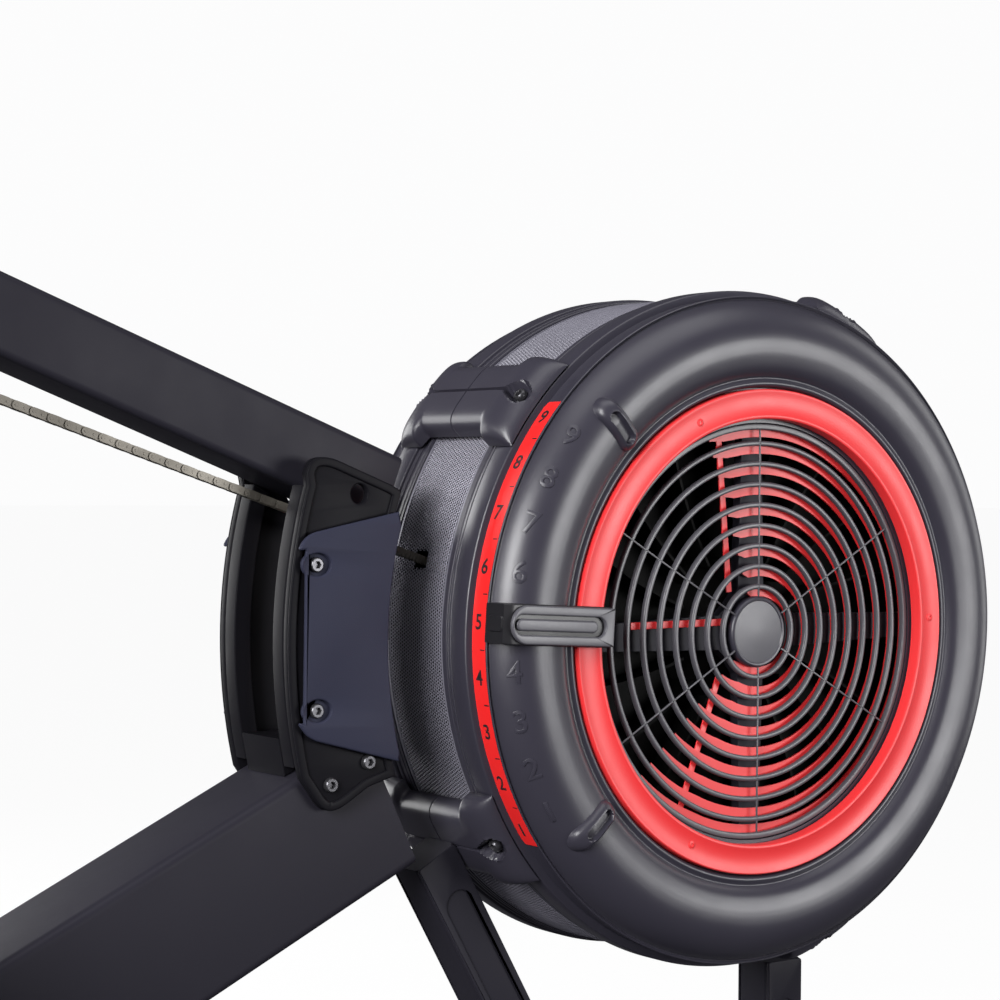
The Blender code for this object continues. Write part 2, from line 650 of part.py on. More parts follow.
# --- Rail, rear leg and foot ------------------------------------------------------
half_rail = RAIL_WIDTH / 2
web = 0.010
flange = 0.012
rail_section = [(-half_rail, 0.0), (-half_rail, -flange), (-web, -flange - 0.008),
                (-web, -RAIL_HEIGHT + flange + 0.008), (-half_rail, -RAIL_HEIGHT + flange),
                (-half_rail, -RAIL_HEIGHT), (half_rail, -RAIL_HEIGHT),
                (half_rail, -RAIL_HEIGHT + flange), (web, -RAIL_HEIGHT + flange + 0.008),
                (web, -flange - 0.008), (half_rail, -flange), (half_rail, 0.0)]
plate("seat_rail", [rail_section], RAIL_FRONT - RAIL_REAR, "rail_aluminium",
      at((RAIL_FRONT + RAIL_REAR) / 2, 0.0, RAIL_TOP) @ OUTLINE_IN_YZ)
box("rail_end_cap", (0.016, RAIL_WIDTH + 0.010, RAIL_HEIGHT + 0.014), "black_plastic",
    at(RAIL_REAR - 0.008 - GAP, 0.0, RAIL_TOP - RAIL_HEIGHT / 2 + 0.004), bevel=0.004)

rail_under = RAIL_TOP - RAIL_HEIGHT - GAP
LEG_DEPTH = 0.060
LEG_SPLAY = 0.040
rear_leg = [(REAR_LEG_X - LEG_DEPTH / 2 - LEG_SPLAY, foot_top + GAP),
            (REAR_LEG_X + LEG_DEPTH / 2 - LEG_SPLAY, foot_top + GAP),
            (REAR_LEG_X + LEG_DEPTH / 2, rail_under), (REAR_LEG_X - LEG_DEPTH / 2, rail_under)]
plate("rear_leg", [rear_leg], 0.040, "black_paint", OUTLINE_IN_XZ)
cross_tube("rear_foot", 0.080, 0.420, REAR_LEG_X - LEG_SPLAY)

# --- Seat and its carriage -----------------------------------------------------------
CARRIAGE_WALL = 0.005
CARRIAGE_SKIRT = 0.030
inside = half_rail + 0.0060
outside = inside + CARRIAGE_WALL
carriage_section = [(-outside, -CARRIAGE_SKIRT), (-inside, -CARRIAGE_SKIRT),
                    (-inside, CARRIAGE_TOP - CARRIAGE_WALL), (inside, CARRIAGE_TOP - CARRIAGE_WALL),
                    (inside, -CARRIAGE_SKIRT), (outside, -CARRIAGE_SKIRT),
                    (outside, CARRIAGE_TOP), (-outside, CARRIAGE_TOP)]
plate("seat_carriage", [carriage_section], CARRIAGE_LENGTH, "black_paint",
      at(SEAT_X, 0.0, RAIL_TOP) @ OUTLINE_IN_YZ)
roller_half = inside - GAP - 0.001
for side, name in ((1, "front"), (-1, "rear")):
    rod(f"seat_roller_{name}", ROLLER_R, -roller_half, roller_half, "rubber",
        at(SEAT_X + side * ROLLER_SPREAD, 0.0, RAIL_TOP + ROLLER_R + GAP) @ AXIS_ALONG_Y, steps=24)


def seat_outline():
    """Seat seen from above: wide at the back, waisted, with a tail notch."""
    points = []
    for i in range(48):
        turn = 2 * math.pi * i / 48
        across = 0.158 * math.sin(turn)
        along = 0.118 * math.cos(turn)
        squareness = 1.0 + 0.12 * math.sin(2 * turn) ** 2
        notch = 0.022 * math.exp(-(across / 0.035) ** 2) if along < 0 else 0.0
        points.append((along * squareness + notch, across * squareness))
    return points


seat_middle = RAIL_TOP + CARRIAGE_TOP + GAP + SEAT_THICK / 2
seat_pad = as_mesh(plate("seat_pad", [seat_outline()], SEAT_THICK, "rubber",
                         at(SEAT_X, 0.0, seat_middle)))
add_bevel(seat_pad, 0.006, segments=1)

# --- Footrests -----------------------------------------------------------------------
# Local X runs down the plate from the toe, local Z is up from its face.
foot_frame = at(PLATE_TOE[0], 0.0, PLATE_TOE[1]) @ Matrix.Rotation(math.pi - PLATE_SLOPE, 4, "Y")
foot_frame = foot_frame @ Matrix.Diagonal((1, -1, -1, 1))
plate_mid_y = PLATE_IN + PLATE_WIDTH / 2
HEEL_AT = 0.265                # heel cup's middle, down from the toe
STRAP_AT = 0.110
STRAP_WIDE = 0.042
STRAP_RISE = 0.092
CUP_LENGTH = 0.110
CUP_HEIGHT = 0.055
CUP_WALL = 0.004


def strap_section():
    """A strap arched over the foot, as (across, up) points."""
    outer = []
    inner = []
    half = PLATE_WIDTH / 2 - 0.004
    for i in range(13):
        turn = math.pi * i / 12
        outer.append((half * math.cos(turn), STRAP_RISE * math.sin(turn) ** 0.8 + GAP))
        inner.append(((half - 0.003) * math.cos(turn), (STRAP_RISE - 0.003) * math.sin(turn) ** 0.8
                      + GAP))
    return outer + inner[::-1]


def cup_outline():
    """The heel cup's wall seen along its face: open towards the toe."""
    half = PLATE_WIDTH / 2 - 0.012
    outer = [(-CUP_LENGTH / 2, -half)]
    inner = [(-CUP_LENGTH / 2, -half + CUP_WALL)]
    for i in range(13):
        turn = -math.pi / 2 + math.pi * i / 12
        x = CUP_LENGTH / 2 - half + half * math.cos(turn)
        outer.append((x, half * math.sin(turn)))
        inner.append((CUP_LENGTH / 2 - half + (half - CUP_WALL) * math.cos(turn),
                      (half - CUP_WALL) * math.sin(turn)))
    outer.append((-CUP_LENGTH / 2, half))
    inner.append((-CUP_LENGTH / 2, half - CUP_WALL))
    return outer + inner[::-1]


for side, name in ((-1, "right"), (1, "left")):
    middle_y = side * plate_mid_y
    box(f"foot_plate_{name}", (PLATE_LENGTH, PLATE_WIDTH, PLATE_THICK), "black_plastic",
        foot_frame @ at(PLATE_LENGTH / 2, middle_y, -PLATE_THICK / 2))
    plate(f"foot_strap_{name}", [strap_section()], STRAP_WIDE, "strap",
          foot_frame @ at(STRAP_AT, middle_y) @ OUTLINE_IN_YZ)
    cup = as_mesh(plate(f"heel_cup_{name}", [cup_outline()], CUP_HEIGHT, "black_plastic",
                        foot_frame @ at(HEEL_AT, middle_y, CUP_HEIGHT / 2 + GAP)))
    cup_floor = box(f"cup_floor_{name}", (CUP_LENGTH * 0.60, PLATE_WIDTH - 0.028, CUP_WALL),
                    "black_plastic", foot_frame @ at(HEEL_AT - CUP_LENGTH * 0.19, middle_y,
                                                     CUP_WALL / 2 + GAP), collection=cutters)
    unite(cup, cup_floor)


def under_plate(x):
    """Height of the foot plates' underside at x."""
    return PLATE_TOE[1] + (x - PLATE_TOE[0]) - PLATE_THICK / math.cos(PLATE_SLOPE) - GAP


bracket_front = -0.6950
bracket_back = -0.7560
BRACKET_WALL = 0.004
bracket_outer = [(bracket_front, under_plate(bracket_front)),
                 (bracket_back, under_plate(bracket_back)),
                 (bracket_back, beam_top(bracket_back) + GAP),
                 (bracket_front, beam_top(bracket_front) + GAP)]
bracket_inner = [(bracket_front - BRACKET_WALL, under_plate(bracket_front) - 2.4 * BRACKET_WALL),
                 (bracket_back + BRACKET_WALL, under_plate(bracket_back) - 0.6 * BRACKET_WALL),
                 (bracket_back + BRACKET_WALL, beam_top(bracket_back) + 1.7 * BRACKET_WALL),
                 (bracket_front - BRACKET_WALL, beam_top(bracket_front) + 0.8 * BRACKET_WALL)]
plate("footrest_bracket", [bracket_outer, bracket_inner], 2 * (PLATE_IN + PLATE_WIDTH) - 0.020,
      "black_paint", OUTLINE_IN_XZ)

# --- Handle hook under the monitor arm --------------------------------------------------
HOOK_Y = 0.0620
HOOK_THICK = 0.008
hook_at = HANDLE_AT - HANDLE_R - 0.0006


def arm_under(along):
    """Height of the arm's underside above the chain's line, this far along the chain."""
    start_x = -SPROCKET_R * math.sin(CHAIN_SLOPE) - along * math.cos(CHAIN_SLOPE)
    start_z = -SPROCKET_R * math.cos(CHAIN_SLOPE) + along * math.sin(CHAIN_SLOPE)
    slope = math.tan(ARM_SLOPE)
    above = ARM_TOP[1] - ARM_SIZE / math.cos(ARM_SLOPE) + (ARM_TOP[0] - start_x) * slope - start_z
    return above / (math.cos(CHAIN_SLOPE) + math.sin(CHAIN_SLOPE) * slope)


hook_top = arm_under(hook_at - 0.012) + 0.030
hook_side = [(hook_at - 0.022, hook_top), (hook_at - 0.020, 0.006), (hook_at - 0.006, -0.012),
             (hook_at, -0.010), (hook_at, 0.020), (hook_at + 0.004, hook_top)]
hook_bridge = [(hook_at - 0.022, arm_under(hook_at - 0.022) - GAP),
               (hook_at - 0.021, arm_under(hook_at - 0.021) - GAP - 0.008),
               (hook_at + 0.002, arm_under(hook_at + 0.002) - GAP - 0.008),
               (hook_at + 0.002, arm_under(hook_at + 0.002) - GAP)]
hook = as_mesh(plate("handle_hook", [hook_bridge], 2 * HOOK_Y, "black_plastic",
                     chain_frame @ OUTLINE_IN_XZ))
for side in (-1, 1):
    prong = as_mesh(plate(f"hook_prong_{side + 2}", [hook_side], HOOK_THICK, "black_plastic",
                          chain_frame @ at(y=side * (HOOK_Y - HOOK_THICK / 2 + 0.0005))
                          @ OUTLINE_IN_XZ))
    unite(hook, prong)

# --- Console -----------------------------------------------------------------------------
width, thick, tall = CONSOLE_SIZE
pivot_along = ARM_LENGTH - 0.035
pivot = arm_frame @ at(pivot_along, 0.0, 0.050)
cheek = [(-0.022, -0.048), (0.022, -0.048), (0.012, 0.010), (0.0, 0.014), (-0.012, 0.010)]
yoke_base = [(-0.022, -0.0496), (0.022, -0.0496), (0.022, -0.043), (-0.022, -0.043)]
bracket = as_mesh(plate("console_bracket", [yoke_base], 0.060, "black_plastic",
                        pivot @ OUTLINE_IN_XZ))
for side in (-1, 1):
    ear = as_mesh(plate(f"console_ear_{side + 2}", [cheek], 0.006, "black_plastic",
                        pivot @ at(y=side * 0.027) @ OUTLINE_IN_XZ))
    unite(bracket, ear)

# Local X faces the rower, local Z is up the console's face.
pivot_point = pivot.translation
console_frame = at(*pivot_point) @ Matrix.Rotation(math.pi, 4, "Z")
console_frame = console_frame @ Matrix.Rotation(-CONSOLE_TILT, 4, "Y")
case_rise = 0.034 + tall / 2
housing = box("console_housing", (thick, width, tall), "black_plastic",
              console_frame @ at(0.0, 0.0, case_rise), bevel=0.008)
knuckle = box("console_knuckle", (0.020, 0.046, 0.050), "black_plastic",
              console_frame @ at(0.0, 0.0, 0.016), collection=cutters)
unite(housing, knuckle)
window = box("console_window_cutter", (0.006, width - 0.036, tall * 0.56), "black_plastic",
             console_frame @ at(thick / 2, 0.0, case_rise + tall * 0.13), collection=cutters)
cut(housing, window)
box("console_screen", (0.0020, width - 0.038, tall * 0.56 - 0.002), "screen",
    console_frame @ at(thick / 2 - 0.0015, 0.0, case_rise + tall * 0.13))
for number, across in enumerate((-0.030, 0.030), 1):
    hole = rod(f"button_hole_{number}", 0.0095, -0.0050, 0.0300, "black_plastic",
               console_frame @ at(thick / 2, across, case_rise - tall * 0.31)
               @ Matrix.Rotation(math.pi / 2, 4, "Y"), steps=20)
    cut(housing, hole)
    rod(f"console_button_{number}", 0.0090, -0.0025, 0.0030, "rubber",
        console_frame @ at(thick / 2, across, case_rise - tall * 0.31)
        @ Matrix.Rotation(math.pi / 2, 4, "Y"), steps=20)

# --- Return pulley and shock cord inside the beam -------------------------------------------
PULLEY_R = 0.030
PULLEY_ALONG = 0.0397
CORD_R = 0.004
pulley_profile = [(PULLEY_R, 0.0060), (PULLEY_R - 0.004, 0.0020), (PULLEY_R - 0.004, -0.0020),
                  (PULLEY_R, -0.0060), (0.0040, -0.0060), (0.0040, 0.0060)]
turned("return_pulley", pulley_profile, "black_plastic",
       beam_frame @ at(PULLEY_ALONG, 0.0, -BEAM_HEIGHT / 2) @ AXIS_ALONG_Y, steps=24)
cord_from = PULLEY_ALONG + PULLEY_R + 0.010
rod("return_cord", CORD_R, cord_from, 0.4197, "rubber",
    beam_frame @ at(z=-BEAM_HEIGHT / 2 - PULLEY_R + 0.006) @ Matrix.Rotation(math.pi / 2, 4, "Y"),
    steps=8)

for piece in parts.objects:
    if piece.type == "MESH" and not piece.data.polygons:
        continue
    if piece.type == "MESH":
        piece.data.shade_smooth()
        piece.data.set_sharp_from_angle(angle=math.radians(35))
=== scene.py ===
"""Looks of an air rowing machine: a caged fan with a damper dial, its neck, rail, seat and console.

Metres, +Z up.  +X points from the seat to the fan and -Y is the dial's side.  Places round the
fan are polar: degrees above the line from the fan's axis towards the seat, and a depth along Y.
"""
from __future__ import annotations

import json
import logging
import math
from dataclasses import dataclass, field
from enum import Enum
from typing import Callable, Sequence

import bpy
import numpy as np
from mathutils import Matrix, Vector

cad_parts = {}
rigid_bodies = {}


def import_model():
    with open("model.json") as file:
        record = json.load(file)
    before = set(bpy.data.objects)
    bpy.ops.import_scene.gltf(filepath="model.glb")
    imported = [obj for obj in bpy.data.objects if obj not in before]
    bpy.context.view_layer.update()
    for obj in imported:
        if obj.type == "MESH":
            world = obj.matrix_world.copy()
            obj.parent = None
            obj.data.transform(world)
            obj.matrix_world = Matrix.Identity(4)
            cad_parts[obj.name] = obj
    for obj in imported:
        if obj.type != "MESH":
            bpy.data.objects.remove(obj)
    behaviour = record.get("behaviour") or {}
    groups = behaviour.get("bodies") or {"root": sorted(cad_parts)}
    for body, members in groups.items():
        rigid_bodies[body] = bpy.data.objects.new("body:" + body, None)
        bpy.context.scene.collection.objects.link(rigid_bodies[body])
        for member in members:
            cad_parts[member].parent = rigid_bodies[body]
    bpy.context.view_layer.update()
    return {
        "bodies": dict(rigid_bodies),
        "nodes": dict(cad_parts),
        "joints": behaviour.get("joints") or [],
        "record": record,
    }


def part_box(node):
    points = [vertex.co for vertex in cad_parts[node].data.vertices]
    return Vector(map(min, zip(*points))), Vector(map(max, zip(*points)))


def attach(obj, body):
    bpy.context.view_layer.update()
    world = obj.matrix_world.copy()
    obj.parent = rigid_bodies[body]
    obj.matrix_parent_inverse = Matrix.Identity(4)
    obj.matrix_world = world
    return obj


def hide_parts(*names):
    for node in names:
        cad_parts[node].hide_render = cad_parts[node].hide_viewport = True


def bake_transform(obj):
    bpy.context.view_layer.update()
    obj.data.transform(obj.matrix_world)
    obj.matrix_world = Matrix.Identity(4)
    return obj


LOG = logging.getLogger("rowing_machine")
Array = np.ndarray
Socket = bpy.types.NodeSocket
Side = Enum("Side", {"RIGHT": -1, "LEFT": 1})


# --- Skins: closed surfaces worked out as whole arrays -------------------------------------
@dataclass
class Skin:
    """A surface of points, four-cornered faces and faces of any number of corners.

    Attributes:
        points: One row of x, y, z for each point.
        quads: One row of four point numbers for each face of the grid.
        ends: Point numbers of each other face, such as the flat ends of a bar.
    """

    points: Array
    quads: Array
    ends: list[Array] = field(default_factory=list)

    def volume(self) -> float:
        """Signed volume: a sixth of the sum of a . (b x c) over the triangles of every face."""
        a, b, c, d = (self.points[self.quads[:, k]] for k in range(4))
        total = np.einsum("ij,ij->", a, np.cross(b, c)) + np.einsum("ij,ij->", a, np.cross(c, d))
        for end in self.ends:
            p = self.points[end]
            total += np.einsum("j,ij->", p[0], np.cross(p[1:-1], p[2:]))
        return float(total) / 6

    def outward(self) -> Skin:
        """Turn every face round when the skin is inside out."""
        if self.volume() >= 0:
            return self
        return Skin(self.points, self.quads[:, ::-1], [end[::-1] for end in self.ends])

    def placed(self, place: Array) -> Skin:
        """Move the skin by a 4 x 4 matrix."""
        points = self.points @ place[:3, :3].T + place[:3, 3]
        return Skin(points, self.quads, self.ends).outward()

    def bent(self, rule: Callable[[Array], Array]) -> Skin:
        """Send every point through a rule that takes and returns rows of x, y, z."""
        return Skin(rule(self.points), self.quads, self.ends).outward()


def joined(skins: Sequence[Skin]) -> Skin:
    """Put several skins into one, each keeping its own points."""
    starts = np.cumsum([0] + [len(s.points) for s in skins])
    quads = np.vstack([s.quads + n for s, n in zip(skins, starts)])
    ends = [end + n for s, n in zip(skins, starts) for end in s.ends]
    return Skin(np.vstack([s.points for s in skins]), quads, ends)


def repeated(skin: Skin, places: Array) -> Skin:
    """Copy a skin to each of a stack of 4 x 4 places, as one array product."""
    count, size = len(places), len(skin.points)
    points = np.einsum("nij,pj->npi", places[:, :3, :3], skin.points) + places[:, None, :3, 3]
    starts = np.arange(count) * size
    quads = (skin.quads[None] + starts[:, None, None]).reshape(-1, 4)
    ends = [end + n for n in starts for end in skin.ends]
    return Skin(points.reshape(-1, 3), quads, ends)


def loft(rings: Array, closed: bool = False) -> Skin:
    """Stretch a skin over a stack of rings.

    The surface is S(i, j) = rings[i, j], closed in j.  When closed is set it is closed in i too,
    like a tyre, and otherwise the first and last rings are filled.

    Args:
        rings: Points of shape (rings, points round a ring, 3).
        closed: Whether the last ring joins the first.

    Returns:
        The skin, with its faces pointing out.
    """
    levels, around = rings.shape[:2]
    ids = np.arange(levels * around).reshape(levels, around)
    rows = np.vstack([ids, ids[:1]]) if closed else ids
    after = np.roll(rows, -1, axis=1)
    quads = np.stack([rows[:-1], after[:-1], after[1:], rows[1:]], -1).reshape(-1, 4)
    ends = [] if closed else [ids[0][::-1], ids[-1]]
    return Skin(rings.reshape(-1, 3), quads, ends).outward()


def turned(profile: Array, steps: int = 160, start: float = 0.0, sweep: float = 360.0) -> Skin:
    """Turn a closed profile about the fan's axis.

    S(a, k) = (-r_k cos a, y_k, r_k sin a), for a profile of rows (r_k, y_k).

    Args:
        profile: Rows of radius and depth, in order round the section.
        steps: How many sections the turn has.
        start: Where the turn begins, in degrees.
        sweep: How far it goes, in degrees.

    Returns:
        A tyre for a whole turn, or an arc with filled ends.
    """
    whole = sweep >= 360.0
    angles = np.radians(start + sweep * np.linspace(0, 1, steps + (not whole), endpoint=not whole))
    r, y = profile[None, :, 0], profile[None, :, 1]
    c, s = np.cos(angles)[:, None], np.sin(angles)[:, None]
    return loft(np.stack([-r * c, y + 0 * c, r * s], -1), closed=whole)


def counter_clockwise(outline: Array) -> Array:
    """Order a flat outline counter-clockwise, by the sign of its area."""
    x, y = outline.T
    area = np.sum(x * np.roll(y, -1) - np.roll(x, -1) * y)
    return outline if area > 0 else outline[::-1]


def drawn_in(outline: Array, depth: float) -> Array:
    """Move each side of a counter-clockwise outline inwards by depth, keeping its corners.

    A corner moves by -depth (n1 + n2) / (1 + n1 . n2), where n1 and n2 are its sides' normals.
    """
    along = np.roll(outline, -1, axis=0) - outline
    along /= np.maximum(np.linalg.norm(along, axis=1, keepdims=True), 1e-9)
    normal = np.stack([along[:, 1], -along[:, 0]], -1)
    before = np.roll(normal, 1, axis=0)
    scale = 1 + np.sum(normal * before, axis=1, keepdims=True)
    return outline - depth * (normal + before) / np.maximum(scale, 0.3)


def edge_turn(edge: float, steps: int = 4) -> Array:
    """Rows (inset, rise) of a quarter-round edge, from its flat face to its side."""
    turn = np.linspace(0, np.pi / 2, steps + 1) if edge > 0 else np.array([np.pi / 2])
    return np.stack([edge * (1 - np.sin(turn)), edge * (1 - np.cos(turn))], -1)


def slab(outline: Array, low: float, high: float, edge: float = 0.001,
         low_edge: float | None = None) -> Skin:
    """Give a flat outline a thickness along local Z, with quarter-round edges.

    Args:
        outline: Rows of x, y.
        low: Where the slab starts.
        high: Where it ends.
        edge: Radius of the upper edge.
        low_edge: Radius of the lower edge, the same as the upper when left out.

    Returns:
        The skin in its local frame.
    """
    shape = counter_clockwise(outline)
    bottom = edge_turn(edge if low_edge is None else low_edge)
    top = edge_turn(edge)[::-1]
    levels = [(inset, low + rise) for inset, rise in bottom]
    levels += [(inset, high - rise) for inset, rise in top]
    rings = [np.column_stack([drawn_in(shape, inset), np.full(len(shape), z)])
             for inset, z in levels]
    return loft(np.array(rings))


def framed(outer: Array, inner: Array, low: float, high: float, edge: float = 0.001) -> Skin:
    """A slab with a window: both outlines have the same number of points.

    Args:
        outer: Outline of the outside.
        inner: Outline of the window.
        low: Where the slab starts.
        high: Where it ends.
        edge: Radius of every edge.

    Returns:
        A tyre-shaped skin.
    """
    outside, window = counter_clockwise(outer), counter_clockwise(inner)
    quarter = edge_turn(edge)
    levels = [(outside, inset, low + rise) for inset, rise in quarter]
    levels += [(outside, inset, high - rise) for inset, rise in quarter[::-1]]
    levels += [(window, -inset, high - rise) for inset, rise in quarter]
    levels += [(window, -inset, low + rise) for inset, rise in quarter[::-1]]
    rings = [np.column_stack([drawn_in(shape, inset), np.full(len(shape), z)])
             for shape, inset, z in levels]
    return loft(np.array(rings), closed=True)


def softened(corners: Sequence[tuple[float, float]], radius: float | Sequence[float],
             steps: int = 5) -> Array:
    """Round the corners of an outline.

    Each corner C becomes the curve (1-t)^2 A + 2t(1-t) C + t^2 B, whose ends A and B lie on the
    corner's two sides, radius away from it, or 0.48 of the side where that is less.

    Args:
        corners: The outline's corners.
        radius: How far each rounding reaches, one for all or one for each.
        steps: Pieces in each rounding.

    Returns:
        The rounded outline.
    """
    c = np.array(corners, float)
    reach = np.broadcast_to(np.array(radius, float), len(c))[:, None]
    back, ahead = np.roll(c, 1, axis=0) - c, np.roll(c, -1, axis=0) - c
    back_run = np.linalg.norm(back, axis=1, keepdims=True)
    ahead_run = np.linalg.norm(ahead, axis=1, keepdims=True)
    a = c + back / back_run * np.minimum(reach, 0.48 * back_run)
    b = c + ahead / ahead_run * np.minimum(reach, 0.48 * ahead_run)
    t = np.linspace(0, 1, steps + 1)[None, :, None]
    curve = (1 - t) ** 2 * a[:, None] + 2 * t * (1 - t) * c[:, None] + t ** 2 * b[:, None]
    return curve.reshape(-1, 2)


def rectangle(wide: float, tall: float, radius: float, middle: tuple[float, float] = (0, 0),
              steps: int = 5) -> Array:
    """A rectangle with rounded corners about a middle point."""
    w, h, (x, y) = wide / 2, tall / 2, middle
    return softened([(x - w, y - h), (x + w, y - h), (x + w, y + h), (x - w, y + h)], radius, steps)


def circle(radius: float, count: int = 32, middle: tuple[float, float] = (0, 0)) -> Array:
    """Points round a circle."""
    turn = np.linspace(0, 2 * np.pi, count, endpoint=False)
    return np.stack([middle[0] + radius * np.cos(turn), middle[1] + radius * np.sin(turn)], -1)


def stadium(length: float, width: float, count: int = 48) -> Array:
    """A slot's outline along local x: two half circles joined by straight sides."""
    turn = np.linspace(0, 2 * np.pi, count, endpoint=False) + np.pi / count
    reach = (length - width) / 2
    shift = np.where(np.cos(turn) > 0, reach, -reach)
    return np.stack([shift + width / 2 * np.cos(turn), width / 2 * np.sin(turn)], -1)


def polar(radius: Array | float, degrees: Array | float) -> Array:
    """Points (x, z) at a radius from the fan's axis, degrees above the line to the seat."""
    angle = np.radians(degrees)
    return np.stack([-radius * np.cos(angle), radius * np.sin(angle)], -1)


def arc(radius: float, start: float, end: float, count: int) -> Array:
    """Points along an arc about the fan's axis."""
    return polar(radius, np.linspace(start, end, count + 1))


def swept(path: Array, section: Array, across: Sequence[float] = (0, 1, 0),
          closed: bool = False) -> Skin:
    """Carry a section along a path.

    A point (u, v) of the section lies at P + u A + v N, where A is the across direction made
    square to the path's tangent T, and N = T x A.

    Args:
        path: Rows of x, y, z.
        section: Rows of u, v, or one such section for each point of the path.
        across: Direction of u where the path doesn't run along it.
        closed: Whether the path joins up.

    Returns:
        The skin.
    """
    if closed:
        tangent = np.roll(path, -1, axis=0) - np.roll(path, 1, axis=0)
    else:
        tangent = np.gradient(path, axis=0)
    tangent /= np.linalg.norm(tangent, axis=1, keepdims=True)
    side = np.array(across, float) - (tangent @ np.array(across, float))[:, None] * tangent
    side /= np.linalg.norm(side, axis=1, keepdims=True)
    up = np.cross(tangent, side)
    shape = np.broadcast_to(section, (len(path), *section.shape[-2:]))
    rings = path[:, None] + shape[..., :1] * side[:, None] + shape[..., 1:] * up[:, None]
    return loft(rings, closed=closed)


def smooth_path(points: Sequence[Sequence[float]], count: int) -> Array:
    """A smooth path through a few points, as a Catmull-Rom spline with even steps."""
    p = np.array(points, float)
    p = np.vstack([2 * p[0] - p[1], p, 2 * p[-1] - p[-2]])
    u = np.linspace(0, len(p) - 3, count)
    i = np.minimum(u.astype(int), len(p) - 4)
    t = (u - i)[:, None]
    a, b, c, d = (p[i + k] for k in range(4))
    return 0.5 * (2 * b + (c - a) * t + (2 * a - 5 * b + 4 * c - d) * t ** 2
                  + (3 * b - a - 3 * c + d) * t ** 3)


def blended(value: Array, low: float, high: float) -> Array:
    """Smooth step: 0 below low, 1 above high, and t t (3 - 2 t) between them."""
    t = np.clip((value - low) / (high - low), 0, 1)
    return t * t * (3 - 2 * t)


def place(origin: Sequence[float], x: Sequence[float] = (1, 0, 0),
          z: Sequence[float] = (0, 0, 1)) -> Array:
    """A 4 x 4 place whose local X and Z axes point along x and z."""
    out = np.eye(4)
    ax = np.array(x, float) / np.linalg.norm(x)
    az = np.array(z, float) / np.linalg.norm(z)
    out[:3, 0], out[:3, 1], out[:3, 2], out[:3, 3] = ax, np.cross(az, ax), az, origin
    return out


def shifted(frame: Array, x: float = 0.0, y: float = 0.0, z: float = 0.0) -> Array:
    """Move a place by x, y, z along its own axes."""
    out = frame.copy()
    out[:3, 3] += frame[:3, :3] @ (x, y, z)
    return out


def glyph(character: str, height: float, relief: float, edge: float = 0.0) -> Skin:
    """One numeral as a raised flat shape, its middle at the origin and its back at z = 0.

    Args:
        character: The numeral.
        height: Its height.
        relief: How far it stands up.
        edge: Rounding of its edges.

    Returns:
        The skin, in x and y with its height along z.
    """
    data = bpy.data.curves.new("numeral", "FONT")
    data.body, data.size = character, height / 0.70
    data.extrude, data.bevel_depth = relief / 2 - edge, edge
    data.offset = 0.018 * height - edge
    data.bevel_resolution, data.resolution_u = 1, 5
    skin = flat_curve_skin(data)
    low, high = skin.points.min(axis=0), skin.points.max(axis=0)
    skin.points -= [(low[0] + high[0]) / 2, (low[1] + high[1]) / 2, low[2]]
    return skin


def flat_curve_skin(data: bpy.types.Curve) -> Skin:
    """Turn a flat curve's evaluated mesh into a skin and take the curve away."""
    holder = bpy.data.objects.new(data.name, data)
    bpy.context.scene.collection.objects.link(holder)
    graph = bpy.context.evaluated_depsgraph_get()
    mesh = bpy.data.meshes.new_from_object(holder.evaluated_get(graph))
    points = np.empty(len(mesh.vertices) * 3)
    mesh.vertices.foreach_get("co", points)
    merged, lookup = np.unique(np.round(points.reshape(-1, 3), 7), axis=0, return_inverse=True)
    lookup = lookup.reshape(-1)
    faces = [lookup[list(face.vertices)] for face in mesh.polygons]
    whole = [f for f in faces if len(set(f.tolist())) == len(f)]
    bpy.data.objects.remove(holder)
    bpy.data.meshes.remove(mesh)
    bpy.data.curves.remove(data)
    return Skin(merged, np.empty((0, 4), int), whole).outward()


def sheet_skin(outlines: Sequence[Array], low: float, high: float, edge: float = 0.0008) -> Skin:
    """A flat plate with any number of holes, and rounded edges all round.

    Args:
        outlines: The outside and then the holes, as rows of x, y.
        low: Where the plate starts along local Z.
        high: Where it ends.
        edge: Rounding of its edges.

    Returns:
        The skin.
    """
    data = bpy.data.curves.new("plate", "CURVE")
    data.dimensions, data.fill_mode = "2D", "BOTH"
    data.extrude, data.bevel_depth = (high - low) / 2 - edge, edge
    data.offset, data.bevel_resolution = -edge, 2
    for outline in outlines:
        spline = data.splines.new("POLY")
        spline.points.add(len(outline) - 1)
        flat = np.column_stack([outline, np.zeros(len(outline)), np.ones(len(outline))])
        spline.points.foreach_set("co", flat.ravel())
        spline.use_cyclic_u = True
    skin = flat_curve_skin(data)
    skin.points[:, 2] += (low + high) / 2
    return skin


# --- Finishes --------------------------------------------------------------------------------
class Grain(Enum):
    """How a finish's surface is broken up."""

    MOULDED = "moulded"
    POWDER = "powder"
    BRUSHED = "brushed"
    WOVEN = "woven"
    HIDE = "hide"
    SMOOTH = "smooth"


